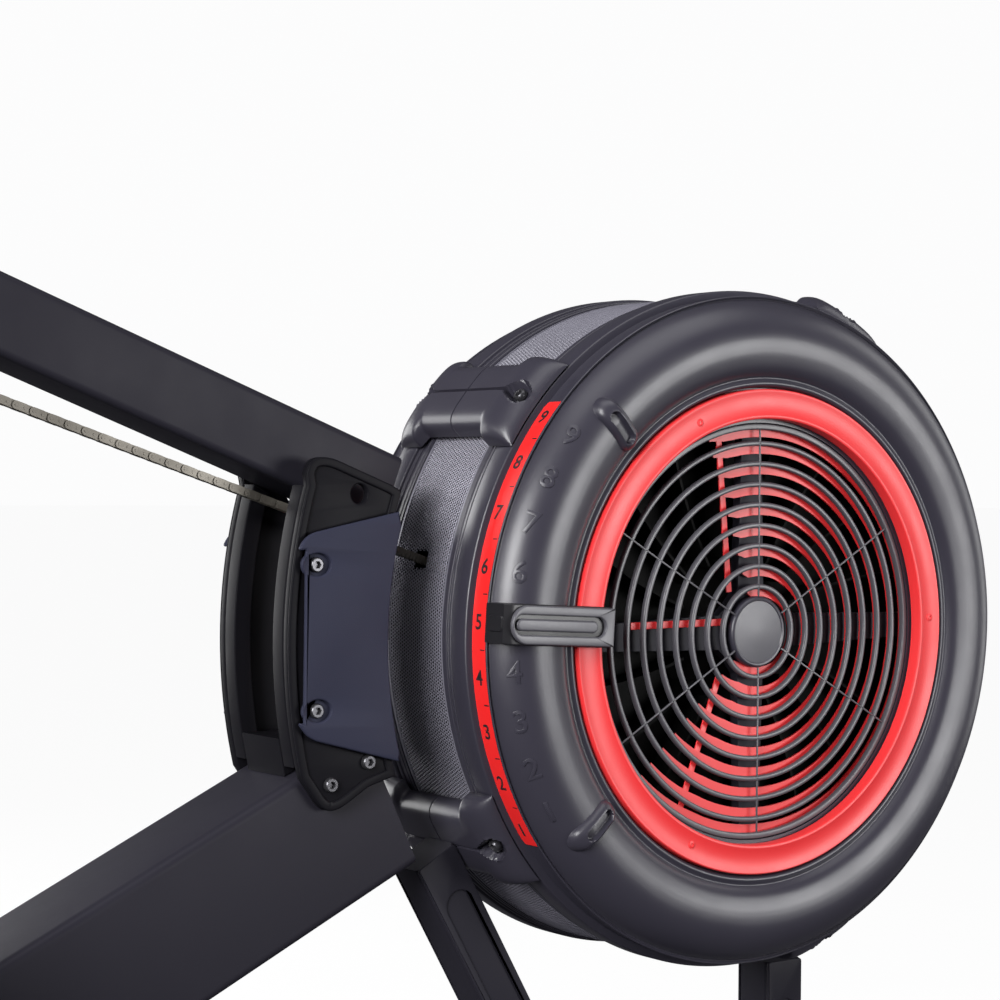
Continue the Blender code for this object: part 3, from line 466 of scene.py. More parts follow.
class Nodes:
    """A small hand on a material's node tree."""

    def __init__(self, material: bpy.types.Material) -> None:
        """Start from an empty tree with a Principled shader."""
        material.use_nodes = True
        self.tree = material.node_tree
        self.tree.nodes.clear()
        self.shader = self.tree.nodes.new("ShaderNodeBsdfPrincipled")
        output = self.tree.nodes.new("ShaderNodeOutputMaterial")
        self.tree.links.new(self.shader.outputs["BSDF"], output.inputs["Surface"])
        self.place = self.tree.nodes.new("ShaderNodeTexCoord").outputs["Object"]

    def link(self, source: Socket, target: Socket) -> None:
        """Join two sockets."""
        self.tree.links.new(source, target)

    def noise(self, scale: float, detail: float = 3.0,
              stretch: Sequence[float] = (1, 1, 1)) -> Socket:
        """Noise of a scale in lumps per metre, stretched along the axes."""
        mapping = self.tree.nodes.new("ShaderNodeMapping")
        mapping.inputs["Scale"].default_value = stretch
        texture = self.tree.nodes.new("ShaderNodeTexNoise")
        texture.inputs["Scale"].default_value = scale
        texture.inputs["Detail"].default_value = detail
        self.link(self.place, mapping.inputs["Vector"])
        self.link(mapping.outputs["Vector"], texture.inputs["Vector"])
        return texture.outputs["Fac"]

    def ramped(self, source: Socket, low: float, high: float,
               start: float = 0.3, end: float = 0.7) -> Socket:
        """Carry the range start..end of a value to low..high."""
        node = self.tree.nodes.new("ShaderNodeMapRange")
        values = zip(("From Min", "From Max", "To Min", "To Max"), (start, end, low, high))
        for name, value in values:
            node.inputs[name].default_value = value
        self.link(source, node.inputs["Value"])
        return node.outputs["Result"]

    def mixed(self, factor: Socket, first: Sequence[float],
              second: Sequence[float]) -> Socket:
        """Mix two colours by a factor."""
        node = self.tree.nodes.new("ShaderNodeMix")
        node.data_type = "RGBA"
        node.inputs["A"].default_value = (*first, 1)
        node.inputs["B"].default_value = (*second, 1)
        self.link(factor, node.inputs["Factor"])
        return node.outputs["Result"]

    def worked(self, operation: str, first: Socket,
               second: Socket | float) -> Socket:
        """Join two values by a math operation."""
        node = self.tree.nodes.new("ShaderNodeMath")
        node.operation = operation
        self.link(first, node.inputs[0])
        if isinstance(second, float):
            node.inputs[1].default_value = second
        else:
            self.link(second, node.inputs[1])
        return node.outputs["Value"]

    def bumped(self, height: Socket, depth: float) -> None:
        """Raise the surface by a height of 0..1 times depth in metres."""
        node = self.tree.nodes.new("ShaderNodeBump")
        node.inputs["Strength"].default_value = 1.0
        node.inputs["Distance"].default_value = depth
        self.link(height, node.inputs["Height"])
        self.link(node.outputs["Normal"], self.shader.inputs["Normal"])

    def cells(self, scale: float, feature: str = "F1") -> Socket:
        """Distance to the nearest of scattered cells."""
        texture = self.tree.nodes.new("ShaderNodeTexVoronoi")
        texture.feature = feature
        texture.inputs["Scale"].default_value = scale
        self.link(self.place, texture.inputs["Vector"])
        return texture.outputs["Distance"]

    def worn_edges(self, start: float = 0.52, end: float = 0.60) -> Socket:
        """0 on flat stretches, 1 on convex edges."""
        shape = self.tree.nodes.new("ShaderNodeNewGeometry")
        return self.ramped(shape.outputs["Pointiness"], 0.0, 1.0, start, end)


@dataclass(frozen=True)
class Finish:
    """One material: its record slot, colours, gloss and grain.

    Attributes:
        slot: The record's material slot.
        colour: Linear colour of the surface.
        worn: Linear colour it varies towards, in soft patches and along edges.
        gloss: Lowest and highest roughness.
        metallic: 0 for paint and plastic, 1 for bare metal.
        grain: Kind of surface.
        grain_scale: Lumps of grain per metre.
        grain_depth: Height of the grain, in metres.
        coat: Weight of a clear coat.
        sheen: Weight of a soft cloth sheen.
        stretch: How the grain is stretched along the axes.
        name: The material's name, where it isn't its slot's.
        shine: Strength of the reflection straight on, 0.5 for plain plastic.
    """

    slot: str
    colour: tuple[float, float, float]
    worn: tuple[float, float, float]
    gloss: tuple[float, float] = (0.35, 0.45)
    metallic: float = 0.0
    grain: Grain = Grain.MOULDED
    grain_scale: float = 1400.0
    grain_depth: float = 0.00004
    coat: float = 0.0
    sheen: float = 0.0
    stretch: tuple[float, float, float] = (1, 1, 1)
    name: str = ""
    shine: float = 0.5

    def material(self) -> bpy.types.Material:
        """Return this finish's material, made on first use."""
        label = f"{self.name or self.slot}_finish"
        found = bpy.data.materials.get(label)
        if found:
            return found
        made = bpy.data.materials.new(label)
        nodes = Nodes(made)
        inputs = nodes.shader.inputs
        inputs["Metallic"].default_value = self.metallic
        inputs["Coat Weight"].default_value = self.coat
        inputs["Coat Roughness"].default_value = 0.12
        inputs["Specular IOR Level"].default_value = self.shine
        inputs["Sheen Weight"].default_value = self.sheen
        patches = nodes.ramped(nodes.noise(9.0, 2.0), 0.0, 0.35)
        wear = nodes.worked("MULTIPLY", nodes.worn_edges(), 0.30)
        shade = nodes.worked("MAXIMUM", patches, wear)
        nodes.link(nodes.mixed(shade, self.colour, self.worn), inputs["Base Color"])
        smudges = nodes.noise(26.0, 4.0)
        nodes.link(nodes.ramped(smudges, *self.gloss), inputs["Roughness"])
        self.add_grain(nodes)
        made.diffuse_color = (*self.colour, 1)
        return made

    def add_grain(self, nodes: Nodes) -> None:
        """Give the surface its fine relief."""
        if self.grain is Grain.WOVEN:
            across = nodes.noise(self.grain_scale, 1.0, (1, 0.12, 1))
            along = nodes.noise(self.grain_scale, 1.0, (0.12, 1, 0.12))
            nodes.bumped(nodes.worked("MAXIMUM", across, along), self.grain_depth)
        elif self.grain is Grain.HIDE:
            cells = nodes.cells(self.grain_scale, "DISTANCE_TO_EDGE")
            nodes.bumped(nodes.ramped(cells, 0.0, 1.0, 0.0, 0.12), self.grain_depth)
        elif self.grain is Grain.BRUSHED:
            nodes.bumped(nodes.noise(self.grain_scale, 3.0, self.stretch), self.grain_depth)
        elif self.grain is Grain.SMOOTH:
            nodes.bumped(nodes.noise(self.grain_scale, 1.0), self.grain_depth)
        elif self.grain is Grain.POWDER:
            lumps = nodes.noise(self.grain_scale, 4.0)
            nodes.bumped(nodes.worked("ADD", lumps, nodes.noise(220.0, 2.0)), self.grain_depth)
        else:
            pits = nodes.ramped(nodes.cells(self.grain_scale), 0.0, 1.0, 0.0, 0.8)
            nodes.bumped(pits, self.grain_depth)


VIOLET_BLACK = (0.0100, 0.0096, 0.0115)
VIOLET_GREY = (0.0150, 0.0145, 0.0175)

CASING = Finish("casing_plastic", (0.0290, 0.0270, 0.0385), (0.0330, 0.0310, 0.0435), (0.31, 0.37),
                grain_scale=2200.0, grain_depth=0.00002)
BAND = Finish("band_metal", (0.165, 0.160, 0.195), (0.205, 0.200, 0.240), (0.36, 0.46), 0.30,
              Grain.BRUSHED, 900.0, 0.00002, stretch=(1, 1, 0.2))
STRIP = Finish("strip_red", (0.78, 0.018, 0.018), (0.70, 0.016, 0.016), (0.34, 0.42),
               grain=Grain.SMOOTH, grain_scale=600.0, grain_depth=0.00001)
NUMERAL = Finish("strip_red", (0.012, 0.011, 0.013), (0.020, 0.018, 0.020), (0.40, 0.50),
                 name="numeral_ink", grain=Grain.SMOOTH, grain_depth=0.00001)
# Lighter than the casing's plastic: a painted sheen, standing in for the satin highlight that the
# front soft box lays on the grille's rings.
GRILLE = Finish("grille_plastic", (0.060, 0.058, 0.068), (0.080, 0.078, 0.090), (0.30, 0.38),
                grain_scale=1800.0, grain_depth=0.00002)
RED_RING = Finish("damper_red", (0.74, 0.030, 0.034), (0.78, 0.038, 0.040), (0.34, 0.42),
                  grain_scale=1800.0, grain_depth=0.00002, shine=0.42)
LEVER = Finish("lever_plastic", (0.075, 0.073, 0.085), (0.100, 0.097, 0.112), (0.34, 0.42),
               grain_scale=1800.0, grain_depth=0.00002)
LEVER_DARK = Finish("lever_plastic", VIOLET_BLACK, VIOLET_GREY, (0.34, 0.42), name="lever_body",
                    grain_scale=1800.0, grain_depth=0.00002)
PAINT = Finish("frame_paint", (0.0180, 0.0170, 0.0235), (0.0225, 0.0212, 0.0290), (0.38, 0.46), 0.0,
               Grain.POWDER, 1500.0, 0.00003, shine=0.08)
NECK_PAINT = Finish("neck_paint", (0.0065, 0.0062, 0.0080), (0.0095, 0.0092, 0.0115),
                    (0.36, 0.44), 0.0, Grain.POWDER, 1500.0, 0.00003, shine=0.04)
COVER = Finish("cover_plastic", (0.0260, 0.0275, 0.0470), (0.0310, 0.0325, 0.0540), (0.46, 0.54),
               grain_scale=1600.0, grain_depth=0.00005, shine=0.06)
TRIM = Finish("trim_plastic", (0.0110, 0.0108, 0.0125), (0.0180, 0.0175, 0.0200), (0.42, 0.52),
              grain_scale=1500.0, grain_depth=0.00005)
BRIGHT = Finish("bright_steel", (0.56, 0.56, 0.58), (0.44, 0.44, 0.46), (0.22, 0.34), 1.0,
                Grain.BRUSHED, 1200.0, 0.00001, stretch=(1, 0.15, 1))
SCREW = Finish("bright_steel", (0.055, 0.054, 0.060), (0.12, 0.12, 0.13), (0.26, 0.34), 0.7,
               Grain.SMOOTH, 900.0, 0.00001, name="black_screw")
CHAIN = Finish("chain_steel", (0.15, 0.138, 0.118), (0.09, 0.082, 0.070), (0.36, 0.50), 0.6,
               Grain.SMOOTH, 1500.0, 0.00002)
CORD = Finish("cord_rubber", (0.020, 0.020, 0.022), (0.035, 0.035, 0.038), (0.7, 0.8),
              grain=Grain.WOVEN, grain_scale=900.0, grain_depth=0.0002)
RAIL = Finish("rail_aluminium", (0.58, 0.59, 0.61), (0.50, 0.51, 0.53), (0.26, 0.36), 1.0,
              Grain.BRUSHED, 700.0, 0.00002, stretch=(0.04, 1, 1))
WEBBING = Finish("strap_webbing", (0.017, 0.017, 0.019), (0.030, 0.030, 0.033), (0.75, 0.85),
                 grain=Grain.WOVEN, grain_scale=1100.0, grain_depth=0.0004, sheen=0.25)
FAN_METAL = Finish("fan_metal", (0.003, 0.003, 0.003), (0.005, 0.005, 0.005), (0.55, 0.65), 0.0,
                   Grain.BRUSHED, 700.0, 0.00003, shine=0.08)
GRIP = Finish("grip_rubber", (0.016, 0.016, 0.017), (0.026, 0.026, 0.027), (0.62, 0.75),
              grain_scale=900.0, grain_depth=0.00012)
SEAT = Finish("seat_foam", (0.018, 0.018, 0.020), (0.028, 0.028, 0.031), (0.50, 0.62),
              grain=Grain.HIDE, grain_scale=420.0, grain_depth=0.00025)
ROLLER = Finish("roller_plastic", (0.024, 0.024, 0.026), (0.040, 0.040, 0.043), (0.45, 0.6),
                grain_scale=700.0, grain_depth=0.00008)
GLASS = Finish("screen_glass", (0.060, 0.075, 0.068), (0.070, 0.088, 0.080), (0.08, 0.14),
               grain=Grain.SMOOTH, grain_scale=300.0, grain_depth=0.000005, coat=0.6)
BUTTON = Finish("button_rubber", (0.055, 0.055, 0.060), (0.075, 0.075, 0.080), (0.55, 0.65),
                grain_scale=1500.0, grain_depth=0.00004)
# Near-black, nearly unshining finish of the sheets inside the band and the casing: painted shade,
# standing in for the dark fan chamber.
DARK = Finish("band_metal", (0.003, 0.003, 0.003), (0.006, 0.006, 0.006), (0.6, 0.7),
              grain=Grain.SMOOTH, name="band_inside", shine=0.05)
INK = Finish("screen_glass", (0.016, 0.020, 0.018), (0.020, 0.026, 0.023), (0.30, 0.40),
             grain=Grain.SMOOTH, name="display_ink", grain_depth=0.000005)


# --- Workshop: makes the pieces and keeps the list ----------------------------------------------
class Workshop:
    """Turns skins into pieces, dresses them and sets them on their bodies."""

    def __init__(self, home: Array) -> None:
        """Start an empty list; home is the place of the fan's axis, where all skins start."""
        self.home = home
        self.made: list[str] = []

    def add(self, name: str, skin: Skin, finish: Finish, body: str,
            stands_for: Sequence[str] = (), crease: float = 35.0) -> bpy.types.Object:
        """Make one piece and ride it on a body.

        Args:
            name: The piece's name.
            skin: Its surface, in its place.
            finish: Its material.
            body: The body that it moves with.
            stands_for: CAD nodes that it replaces.
            crease: Angle in degrees past which an edge is sharp.

        Returns:
            The new object.
        """
        mesh = bpy.data.meshes.new(name)
        sizes = np.array([4] * len(skin.quads) + [len(end) for end in skin.ends])
        corners = np.concatenate([skin.quads.ravel(), *skin.ends]) if skin.ends \
            else skin.quads.ravel()
        mesh.vertices.add(len(skin.points))
        mesh.vertices.foreach_set("co", (skin.points + self.home[:3, 3]).ravel())
        mesh.loops.add(len(corners))
        mesh.loops.foreach_set("vertex_index", corners.astype(np.int32))
        mesh.polygons.add(len(sizes))
        starts = np.concatenate([[0], np.cumsum(sizes)[:-1]])
        mesh.polygons.foreach_set("loop_start", starts.astype(np.int32))
        mesh.polygons.foreach_set("loop_total", sizes.astype(np.int32))
        mesh.update(calc_edges=True)
        mesh.validate()
        mesh.shade_smooth()
        mesh.set_sharp_from_angle(angle=math.radians(crease))
        piece = bpy.data.objects.new(name, mesh)
        bpy.context.scene.collection.objects.link(piece)
        mesh.materials.append(finish.material())
        if body:
            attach(piece, body)
        if stands_for:
            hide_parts(*stands_for)
        self.made.append(name)
        LOG.info("%s: %d faces, %s", name, len(sizes), finish.slot)
        return piece

    def dress(self, finish: Finish, *nodes: str) -> None:
        """Give CAD nodes that stay their finish."""
        for node in nodes:
            piece = bpy.data.objects[node]
            piece.data.materials.clear()
            piece.data.materials.append(finish.material())
            piece.data.shade_smooth()
            piece.data.set_sharp_from_angle(angle=math.radians(32))
            LOG.info("%s: kept, %s", node, finish.slot)


# A section drawn in x, z whose depth runs towards the dial.
UPRIGHT = place((0, 0, 0), x=(1, 0, 0), z=(0, -1, 0))


def mirrored(place_in: Array) -> Array:
    """Reflect a place in the machine's middle plane."""
    return np.diag([1.0, -1.0, 1.0, 1.0]) @ place_in


def on_side(place_in: Array, side: Side) -> Array:
    """A place drawn for the dial's side, moved to either side."""
    return place_in if side is Side.RIGHT else mirrored(place_in)


def screw_head(radius: float, height: float, socket: float = 0.5) -> Skin:
    """A domed screw head with a six-sided socket, its seat at z = 0.

    Its rings blend from circles to hexagons: a hexagon's radius at angle a is
    cos(30) / cos(((a + 30) mod 60) - 30), times its corner radius.
    """
    turn = np.linspace(0, 2 * np.pi, 36, endpoint=False)
    hexagon = math.cos(math.pi / 6) / np.cos(np.mod(turn, math.pi / 3) - math.pi / 6)
    rise = height
    levels = [(radius, 0.0, 0), (radius, 0.5 * rise, 0), (0.94 * radius, 0.8 * rise, 0),
              (0.80 * radius, rise, 0), (socket * radius * 1.08, rise, 1),
              (socket * radius, 0.93 * rise, 1), (socket * radius * 0.96, 0.25 * rise, 1)]
    rings = []
    for r, z, six in levels:
        reach = r * (hexagon if six else 1.0)
        rings.append(np.stack([reach * np.cos(turn), reach * np.sin(turn),
                               np.full(36, z)], -1))
    return loft(np.array(rings))


def round_pin(radius: float, low: float, high: float, edge: float = 0.0005,
              count: int = 28) -> Skin:
    """A short round bar along local Z with eased ends."""
    return slab(circle(radius, count), low, high, edge)


# --- Fan casing ---------------------------------------------------------------------------
@dataclass
class Casing:
    """The two halves of the fan casing, their clamps and the perforated band between them."""

    crown_r: float = 0.2145
    crown_depth: float = 0.1060
    flank: float = 0.0335
    band_r: float = 0.2500
    band_half: float = 0.0360
    digit_r: float = 0.2350
    chain_degrees: float = 12.9
    scale_middle: float = 3.9
    scale_step: float = 8.46
    clamp_degrees: tuple[float, ...] = (-111.0, -33.5, 41.0, 115.5, 183.7)
    stop_degrees: tuple[float, ...] = (-37.5, 45.5)

    def flank_depth(self, r: Array) -> Array:
        """Depth of the outer skin at a radius: a quarter circle past the crown."""
        past = np.clip(r - self.crown_r, 0, self.flank * 0.98)
        inside = np.interp(r, [0.186, 0.199, self.crown_r], [-0.0075, -0.0022, 0.0])
        return self.crown_depth - self.flank + np.sqrt(self.flank ** 2 - past ** 2) + inside

    def outer_profile(self) -> Array:
        """Radius and depth of the outer skin, from the red ring's seat to the band."""
        lip = smooth_path([(0.1810, 0.0890), (0.1811, 0.0945), (0.1822, 0.0978), (0.1845, 0.0987),
                           (0.1868, 0.0976), (0.1885, 0.0974), (0.1902, 0.0990), (0.1928, 0.1012),
                           (0.1970, 0.1032), (0.2050, 0.1052), (0.2110, 0.1059)], 41)
        turn = np.radians(np.linspace(2, 69, 22))
        flank = np.stack([self.crown_r + self.flank * np.sin(turn),
                          self.crown_depth - self.flank + self.flank * np.cos(turn)], -1)
        land = [(0.2464, 0.0842), (0.2472, 0.0858), (0.2481, 0.0864), (0.2487, 0.0859),
                (0.2487, 0.0852), (0.2476, 0.0849), (0.2475, 0.0842), (0.2475, 0.0699),
                (0.2477, 0.0693), (0.2522, 0.0683), (0.2531, 0.0678), (0.2535, 0.0668),
                (0.2535, 0.0506), (0.2532, 0.0498), (0.2524, 0.0494), (0.2512, 0.0493),
                (0.2511, 0.0480), (0.2513, 0.0474), (0.2521, 0.0470), (0.2521, 0.0450),
                (0.2518, 0.0446), (0.2509, 0.0444), (0.2509, 0.0420), (0.2514, 0.0416),
                (0.2514, 0.0396), (0.2509, 0.0392), (0.2509, 0.0364)]
        return np.vstack([lip, flank, land])

    def inner_profile(self) -> Array:
        """Radius and depth of the inner skin, from the band back to the ring's seat."""
        return np.array([(0.2475, 0.0364), (0.2475, 0.0640), (0.2445, 0.0680), (0.2410, 0.0860),
                         (0.2320, 0.0960), (0.2145, 0.1030), (0.2000, 0.1005), (0.1880, 0.0940),
                         (0.1811, 0.0872)])

    def dial_half(self) -> Skin:
        """The half on the dial's side, with a narrow seat that carries the grille."""
        seat = [(0.1554, 0.0873), (0.1554, 0.0893), (0.1570, 0.0893)]
        profile = np.vstack([self.outer_profile(), self.inner_profile(), seat])
        return turned(profile * (1, -1), 224)

    def plain_half(self) -> Skin:
        """The far half, closed by a dished side with three shallow steps."""
        dish = smooth_path([(0.1790, 0.0885), (0.1700, 0.0884), (0.1600, 0.0878), (0.1520, 0.0864),
                            (0.1300, 0.0852), (0.1080, 0.0842), (0.1000, 0.0850), (0.0930, 0.0842),
                            (0.0600, 0.0836), (0.0420, 0.0845), (0.0340, 0.0872), (0.0300, 0.0884),
                            (0.0190, 0.0884)], 60)
        back = np.array([(0.0182, 0.0876), (0.0182, 0.0720), (0.0240, 0.0720), (0.0300, 0.0800),
                         (0.0600, 0.0795), (0.1600, 0.0836), (0.1800, 0.0850)])
        inner = self.inner_profile()
        profile = np.vstack([self.outer_profile(), inner, back[::-1], dish[::-1]])
        return turned(profile, 224)

    def dish_ribs(self) -> Skin:
        """Nine low radial ribs pressed in the far side's dish."""
        rib = slab(stadium(0.0560, 0.0080, 28), 0.0, 0.0026, 0.0012, 0.0)
        places = np.array([on_side(self.on_face(0.130, 40.0 * k, 0.0846), Side.LEFT)
                           for k in range(9)])
        return repeated(rib, places)

    @staticmethod
    def on_face(radius: float, degrees: float, depth: float) -> Array:
        """A place on the dial's side: X points inwards along the radius, Z out of the face."""
        x, z = polar(radius, degrees)
        inward = (-x / radius, 0.0, -z / radius)
        return place((x, -depth, z), x=inward, z=(0, -1, 0))

    def band(self) -> Skin:
        """Expanded metal: a sheet with rows of diamond openings, each row half a cell over.

        Cell (i, j) is a rectangle round the fan with its corners joined to the diamond's, so
        the strands are the four faces between them. Cells are left out where the chain passes.
        """
        around, across = 640, 28
        half = self.band_half - 0.0024
        window_depth, window_degrees = 0.0062, 1.6
        i, j = np.meshgrid(np.arange(around), np.arange(across), indexing="ij")
        wide, tall = 360.0 / around, 2 * half / across
        angle = wide * (i + 0.5 + 0.5 * (j % 2))
        depth = -half + tall * (j + 0.5)
        corner = np.array([(-0.5, -0.5), (0.5, -0.5), (0.5, 0.5), (-0.5, 0.5)])
        mouth = np.array([(-0.40, -0.08), (0.08, -0.40), (0.40, 0.08), (-0.08, 0.40)])
        solid = ((np.abs(depth) > window_depth)
                 | (np.abs(angle - self.chain_degrees) > window_degrees)).ravel()
        points = []
        for corners, sunk in ((corner, 0.0), (mouth, 0.0004)):
            a = angle[..., None] + wide * corners[:, 0]
            y = depth[..., None] + tall * corners[:, 1]
            xz = polar(self.band_r - sunk, a)
            points.append(np.stack([xz[..., 0], y, xz[..., 1]], -1))
        grid = np.stack(points, 2).reshape(-1, 8, 3)[solid].reshape(-1, 3)
        base = (np.arange(solid.sum()) * 8)[:, None, None]
        strands = np.array([[k, (k + 1) % 4, 4 + (k + 1) % 4, 4 + k] for k in range(4)])
        quads = (base + strands[None]).reshape(-1, 4)
        return facing_out(Skin(grid, quads))

    def band_edging(self) -> Skin:
        """The band's plain margins, one along each side."""
        inner, outer = self.band_r - 0.0014, self.band_r + 0.0002
        low, high = self.band_half - 0.0026, self.band_half
        ring = np.array([(inner, low), (outer, low), (outer, high), (inner, high)])
        strips = [turned(ring * (1, s), 180) for s in (1, -1)]
        return joined(strips)

    def band_lining(self) -> Skin:
        """A near-black sleeve just inside the band, which the openings show: painted shade,
        standing in for the dark fan chamber behind the band.
        """
        ring = np.array([(0.2466, -0.0345), (0.2472, -0.0345), (0.2472, 0.0345), (0.2466, 0.0345)])
        return turned(ring, 120, self.chain_degrees + 2.6, 354.8)

    def inside(self) -> Skin:
        """A matt black sheet just inside both halves, which the grille shows: painted shade,
        standing in for the dark inside of the casing.
        """
        line = self.inner_profile() * (0.992, 0.985)
        back = np.array([(0.1600, 0.0800), (0.0600, 0.0765), (0.0310, 0.0770)])
        shade_sheets = []
        for path, side in ((line, -1), (np.vstack([line, back]), 1)):
            section = np.vstack([path, path[::-1] * 0.996])
            shade_sheets.append(turned(section * (1, side), 120))
        return joined(shade_sheets)

    def clamp(self, degrees: float) -> Skin:
        """A clamp that ties the two halves, as a height over a grid across and round the band.

        The height is the product of two rounded steps, less a teardrop recess round each screw,
        which has a low lip, and a narrow seam along the middle.
        """
        half_wide, rise = 0.0690, 0.0155
        u = np.concatenate([np.linspace(-1, -0.80, 9), np.linspace(-0.76, 0.76, 39),
                            np.linspace(0.80, 1, 9)])
        seam = np.array([-0.0007, -0.0005, 0.0005, 0.0007])
        v = np.concatenate([np.linspace(-half_wide, -0.0680, 3), np.linspace(-0.0660, -0.0020, 53),
                            seam, np.linspace(0.0020, 0.0660, 53),
                            np.linspace(0.0680, half_wide, 3)])
        uu, vv = np.meshgrid(u, v, indexing="ij")
        run = np.clip(1 - np.abs(uu) ** 7, 0, 1) ** 0.5
        uu = uu * (0.0300 + 0.0085 * blended(np.abs(vv), 0.0370, 0.0430))
        far = np.clip((np.abs(vv) - 0.0440) / (half_wide - 0.0440), 0, 1)
        fall = np.clip(1 - far ** 2.1, 0, 1) ** 0.62
        height = rise * run * fall
        past = np.abs(vv) - 0.0575
        reach = np.hypot(np.maximum(past, 0.0), uu) / np.clip(0.0088 + 0.62 * np.minimum(past, 0.0),
                                                              0.0004, None)
        dip = 1 - blended(reach, 0.88, 1.02)
        lip = 0.0007 * np.exp(-((reach - 1.06) / 0.07) ** 2)
        height = height + lip * run - dip * np.maximum(height - 0.0045, 0.0)
        height -= np.where(np.abs(vv) < 0.0006, 0.0014, 0.0) * run
        angle = degrees + np.degrees(uu / 0.2550)
        layers = []
        for lift in (0.0, height):
            xz = polar(0.2548 + lift, angle)
            layers.append(np.stack([xz[..., 0], vv, xz[..., 1]], -1))
        return sealed(layers[0], layers[1])

    def clamp_screws(self, degrees: float) -> Skin:
        """The two screws of a clamp, at the bottom of their recesses."""
        places = []
        for y in (-0.0560, 0.0560):
            x, z = polar(0.2606, degrees)
            out = (x / 0.2606, 0.0, z / 0.2606)
            places.append(place((x, y, z), x=(0, 1, 0), z=out))
        return repeated(screw_head(0.0050, 0.0042, 0.55), np.array(places))

    def raised_numeral(self, number: int) -> Skin:
        """A numeral bent over the flank: x runs inwards along it and y round the axis."""
        shape = glyph(str(number), 0.0157, 0.0012, 0.0003)
        start = math.asin((self.digit_r - self.crown_r) / self.flank)
        degrees = self.scale_middle + self.scale_step * (number - 5)

        def over_flank(p: Array) -> Array:
            """Wrap x over the flank's circle and y round the axis."""
            lean = start - p[:, 0] / self.flank
            reach = self.flank + p[:, 2] - 0.0004
            r = self.crown_r + reach * np.sin(lean)
            angle = np.radians(degrees) + p[:, 1] / self.digit_r
            depth = self.crown_depth - self.flank + reach * np.cos(lean)
            return np.stack([-r * np.cos(angle), -depth, r * np.sin(angle)], -1)

        return shape.bent(over_flank)

    def stop(self, degrees: float) -> Skin:
        """An end stop of the dial: a rounded bump with a hollow in it, over the crown.

        Its height over a grid is a rounded capsule less a smaller one.
        """
        u, v = np.meshgrid(np.linspace(-1, 1, 61), np.linspace(-1, 1, 37), indexing="ij")
        r = 0.2125 + 0.0225 * u
        across = 0.0095 * v
        end = np.maximum(np.abs(r - 0.2125) - 0.0135, 0.0)
        reach = np.hypot(end, across) / 0.0093
        height = 0.0066 * np.clip(1 - reach ** 3.2, 0, 1) ** 0.55
        hollow = np.hypot(np.maximum(np.abs(r - 0.2100) - 0.0095, 0.0), across + 0.0010) / 0.0046
        height -= (1 - blended(hollow, 0.75, 1.05)) * 0.0048
        base = self.flank_depth(r)
        angle = degrees + np.degrees(across / r)
        xz = polar(r, angle)
        low = np.stack([xz[..., 0], -(base - 0.0012), xz[..., 1]], -1)
        top = np.stack([xz[..., 0], -(base - 0.0008 + np.maximum(height, 0.0)), xz[..., 1]], -1)
        return sealed(low, top)

    def build(self, shop: Workshop) -> None:
        """Make every piece of the casing."""
        shop.add("casing_half_right", self.dial_half(), CASING, "frame", ["fan_housing_right"], 50)
        left = joined([self.plain_half(), self.dish_ribs()])
        shop.add("casing_half_left", left, CASING, "frame", ["fan_housing_left"], 50)
        shop.add("band_mesh", self.band(), BAND, "frame", ["perforated_band"])
        shop.add("band_edging", self.band_edging(), BAND, "frame")
        # Painted shade: a near-black sleeve seen through the band's openings.
        shop.add("band_lining", self.band_lining(), DARK, "frame")
        # Painted shade: near-black sheets inside both halves, seen through the grille.
        shop.add("casing_lining", self.inside(), DARK, "frame")
        for number in range(1, 10):
            shop.add(f"raised_numeral_{number}", self.raised_numeral(number), CASING, "frame")
        for name, degrees in zip(("low", "high"), self.stop_degrees):
            shop.add(f"dial_stop_{name}", self.stop(degrees), CASING, "frame", crease=60)
        for number, degrees in enumerate(self.clamp_degrees, 1):
            shop.add(f"clamp_{number}", self.clamp(degrees), CASING, "frame",
                     [f"housing_clamp_{number}"], 50)
            shop.add(f"clamp_screws_{number}", self.clamp_screws(degrees), SCREW, "frame")


def facing_out(skin: Skin) -> Skin:
    """Turn the faces of an open sheet round the fan so that they point away from the axis."""
    a, b, c = (skin.points[skin.quads[0, k]] for k in range(3))
    normal = np.cross(b - a, c - a)
    away = a * (1, 0, 1)
    return skin if normal @ away > 0 else Skin(skin.points, skin.quads[:, ::-1], skin.ends)


def sealed(low: Array, top: Array) -> Skin:
    """Close two sheets of the same grid into one skin, with a wall round their edges."""
    rows, columns = low.shape[:2]
    ids = np.arange(rows * columns).reshape(rows, columns)

    def faces(grid: Array) -> Array:
        """Faces of one sheet."""
        return np.stack([grid[:-1, :-1], grid[1:, :-1], grid[1:, 1:], grid[:-1, 1:]],
                        -1).reshape(-1, 4)

    rim = np.concatenate([ids[0, :-1], ids[:-1, -1], ids[-1, :0:-1], ids[:0:-1, 0]])
    after = np.roll(rim, -1)
    count = rows * columns
    wall = np.stack([rim, rim + count, after + count, after], -1)
    quads = np.vstack([faces(ids)[:, ::-1], faces(ids + count), wall[:, ::-1]])
    return Skin(np.vstack([low.reshape(-1, 3), top.reshape(-1, 3)]), quads).outward()


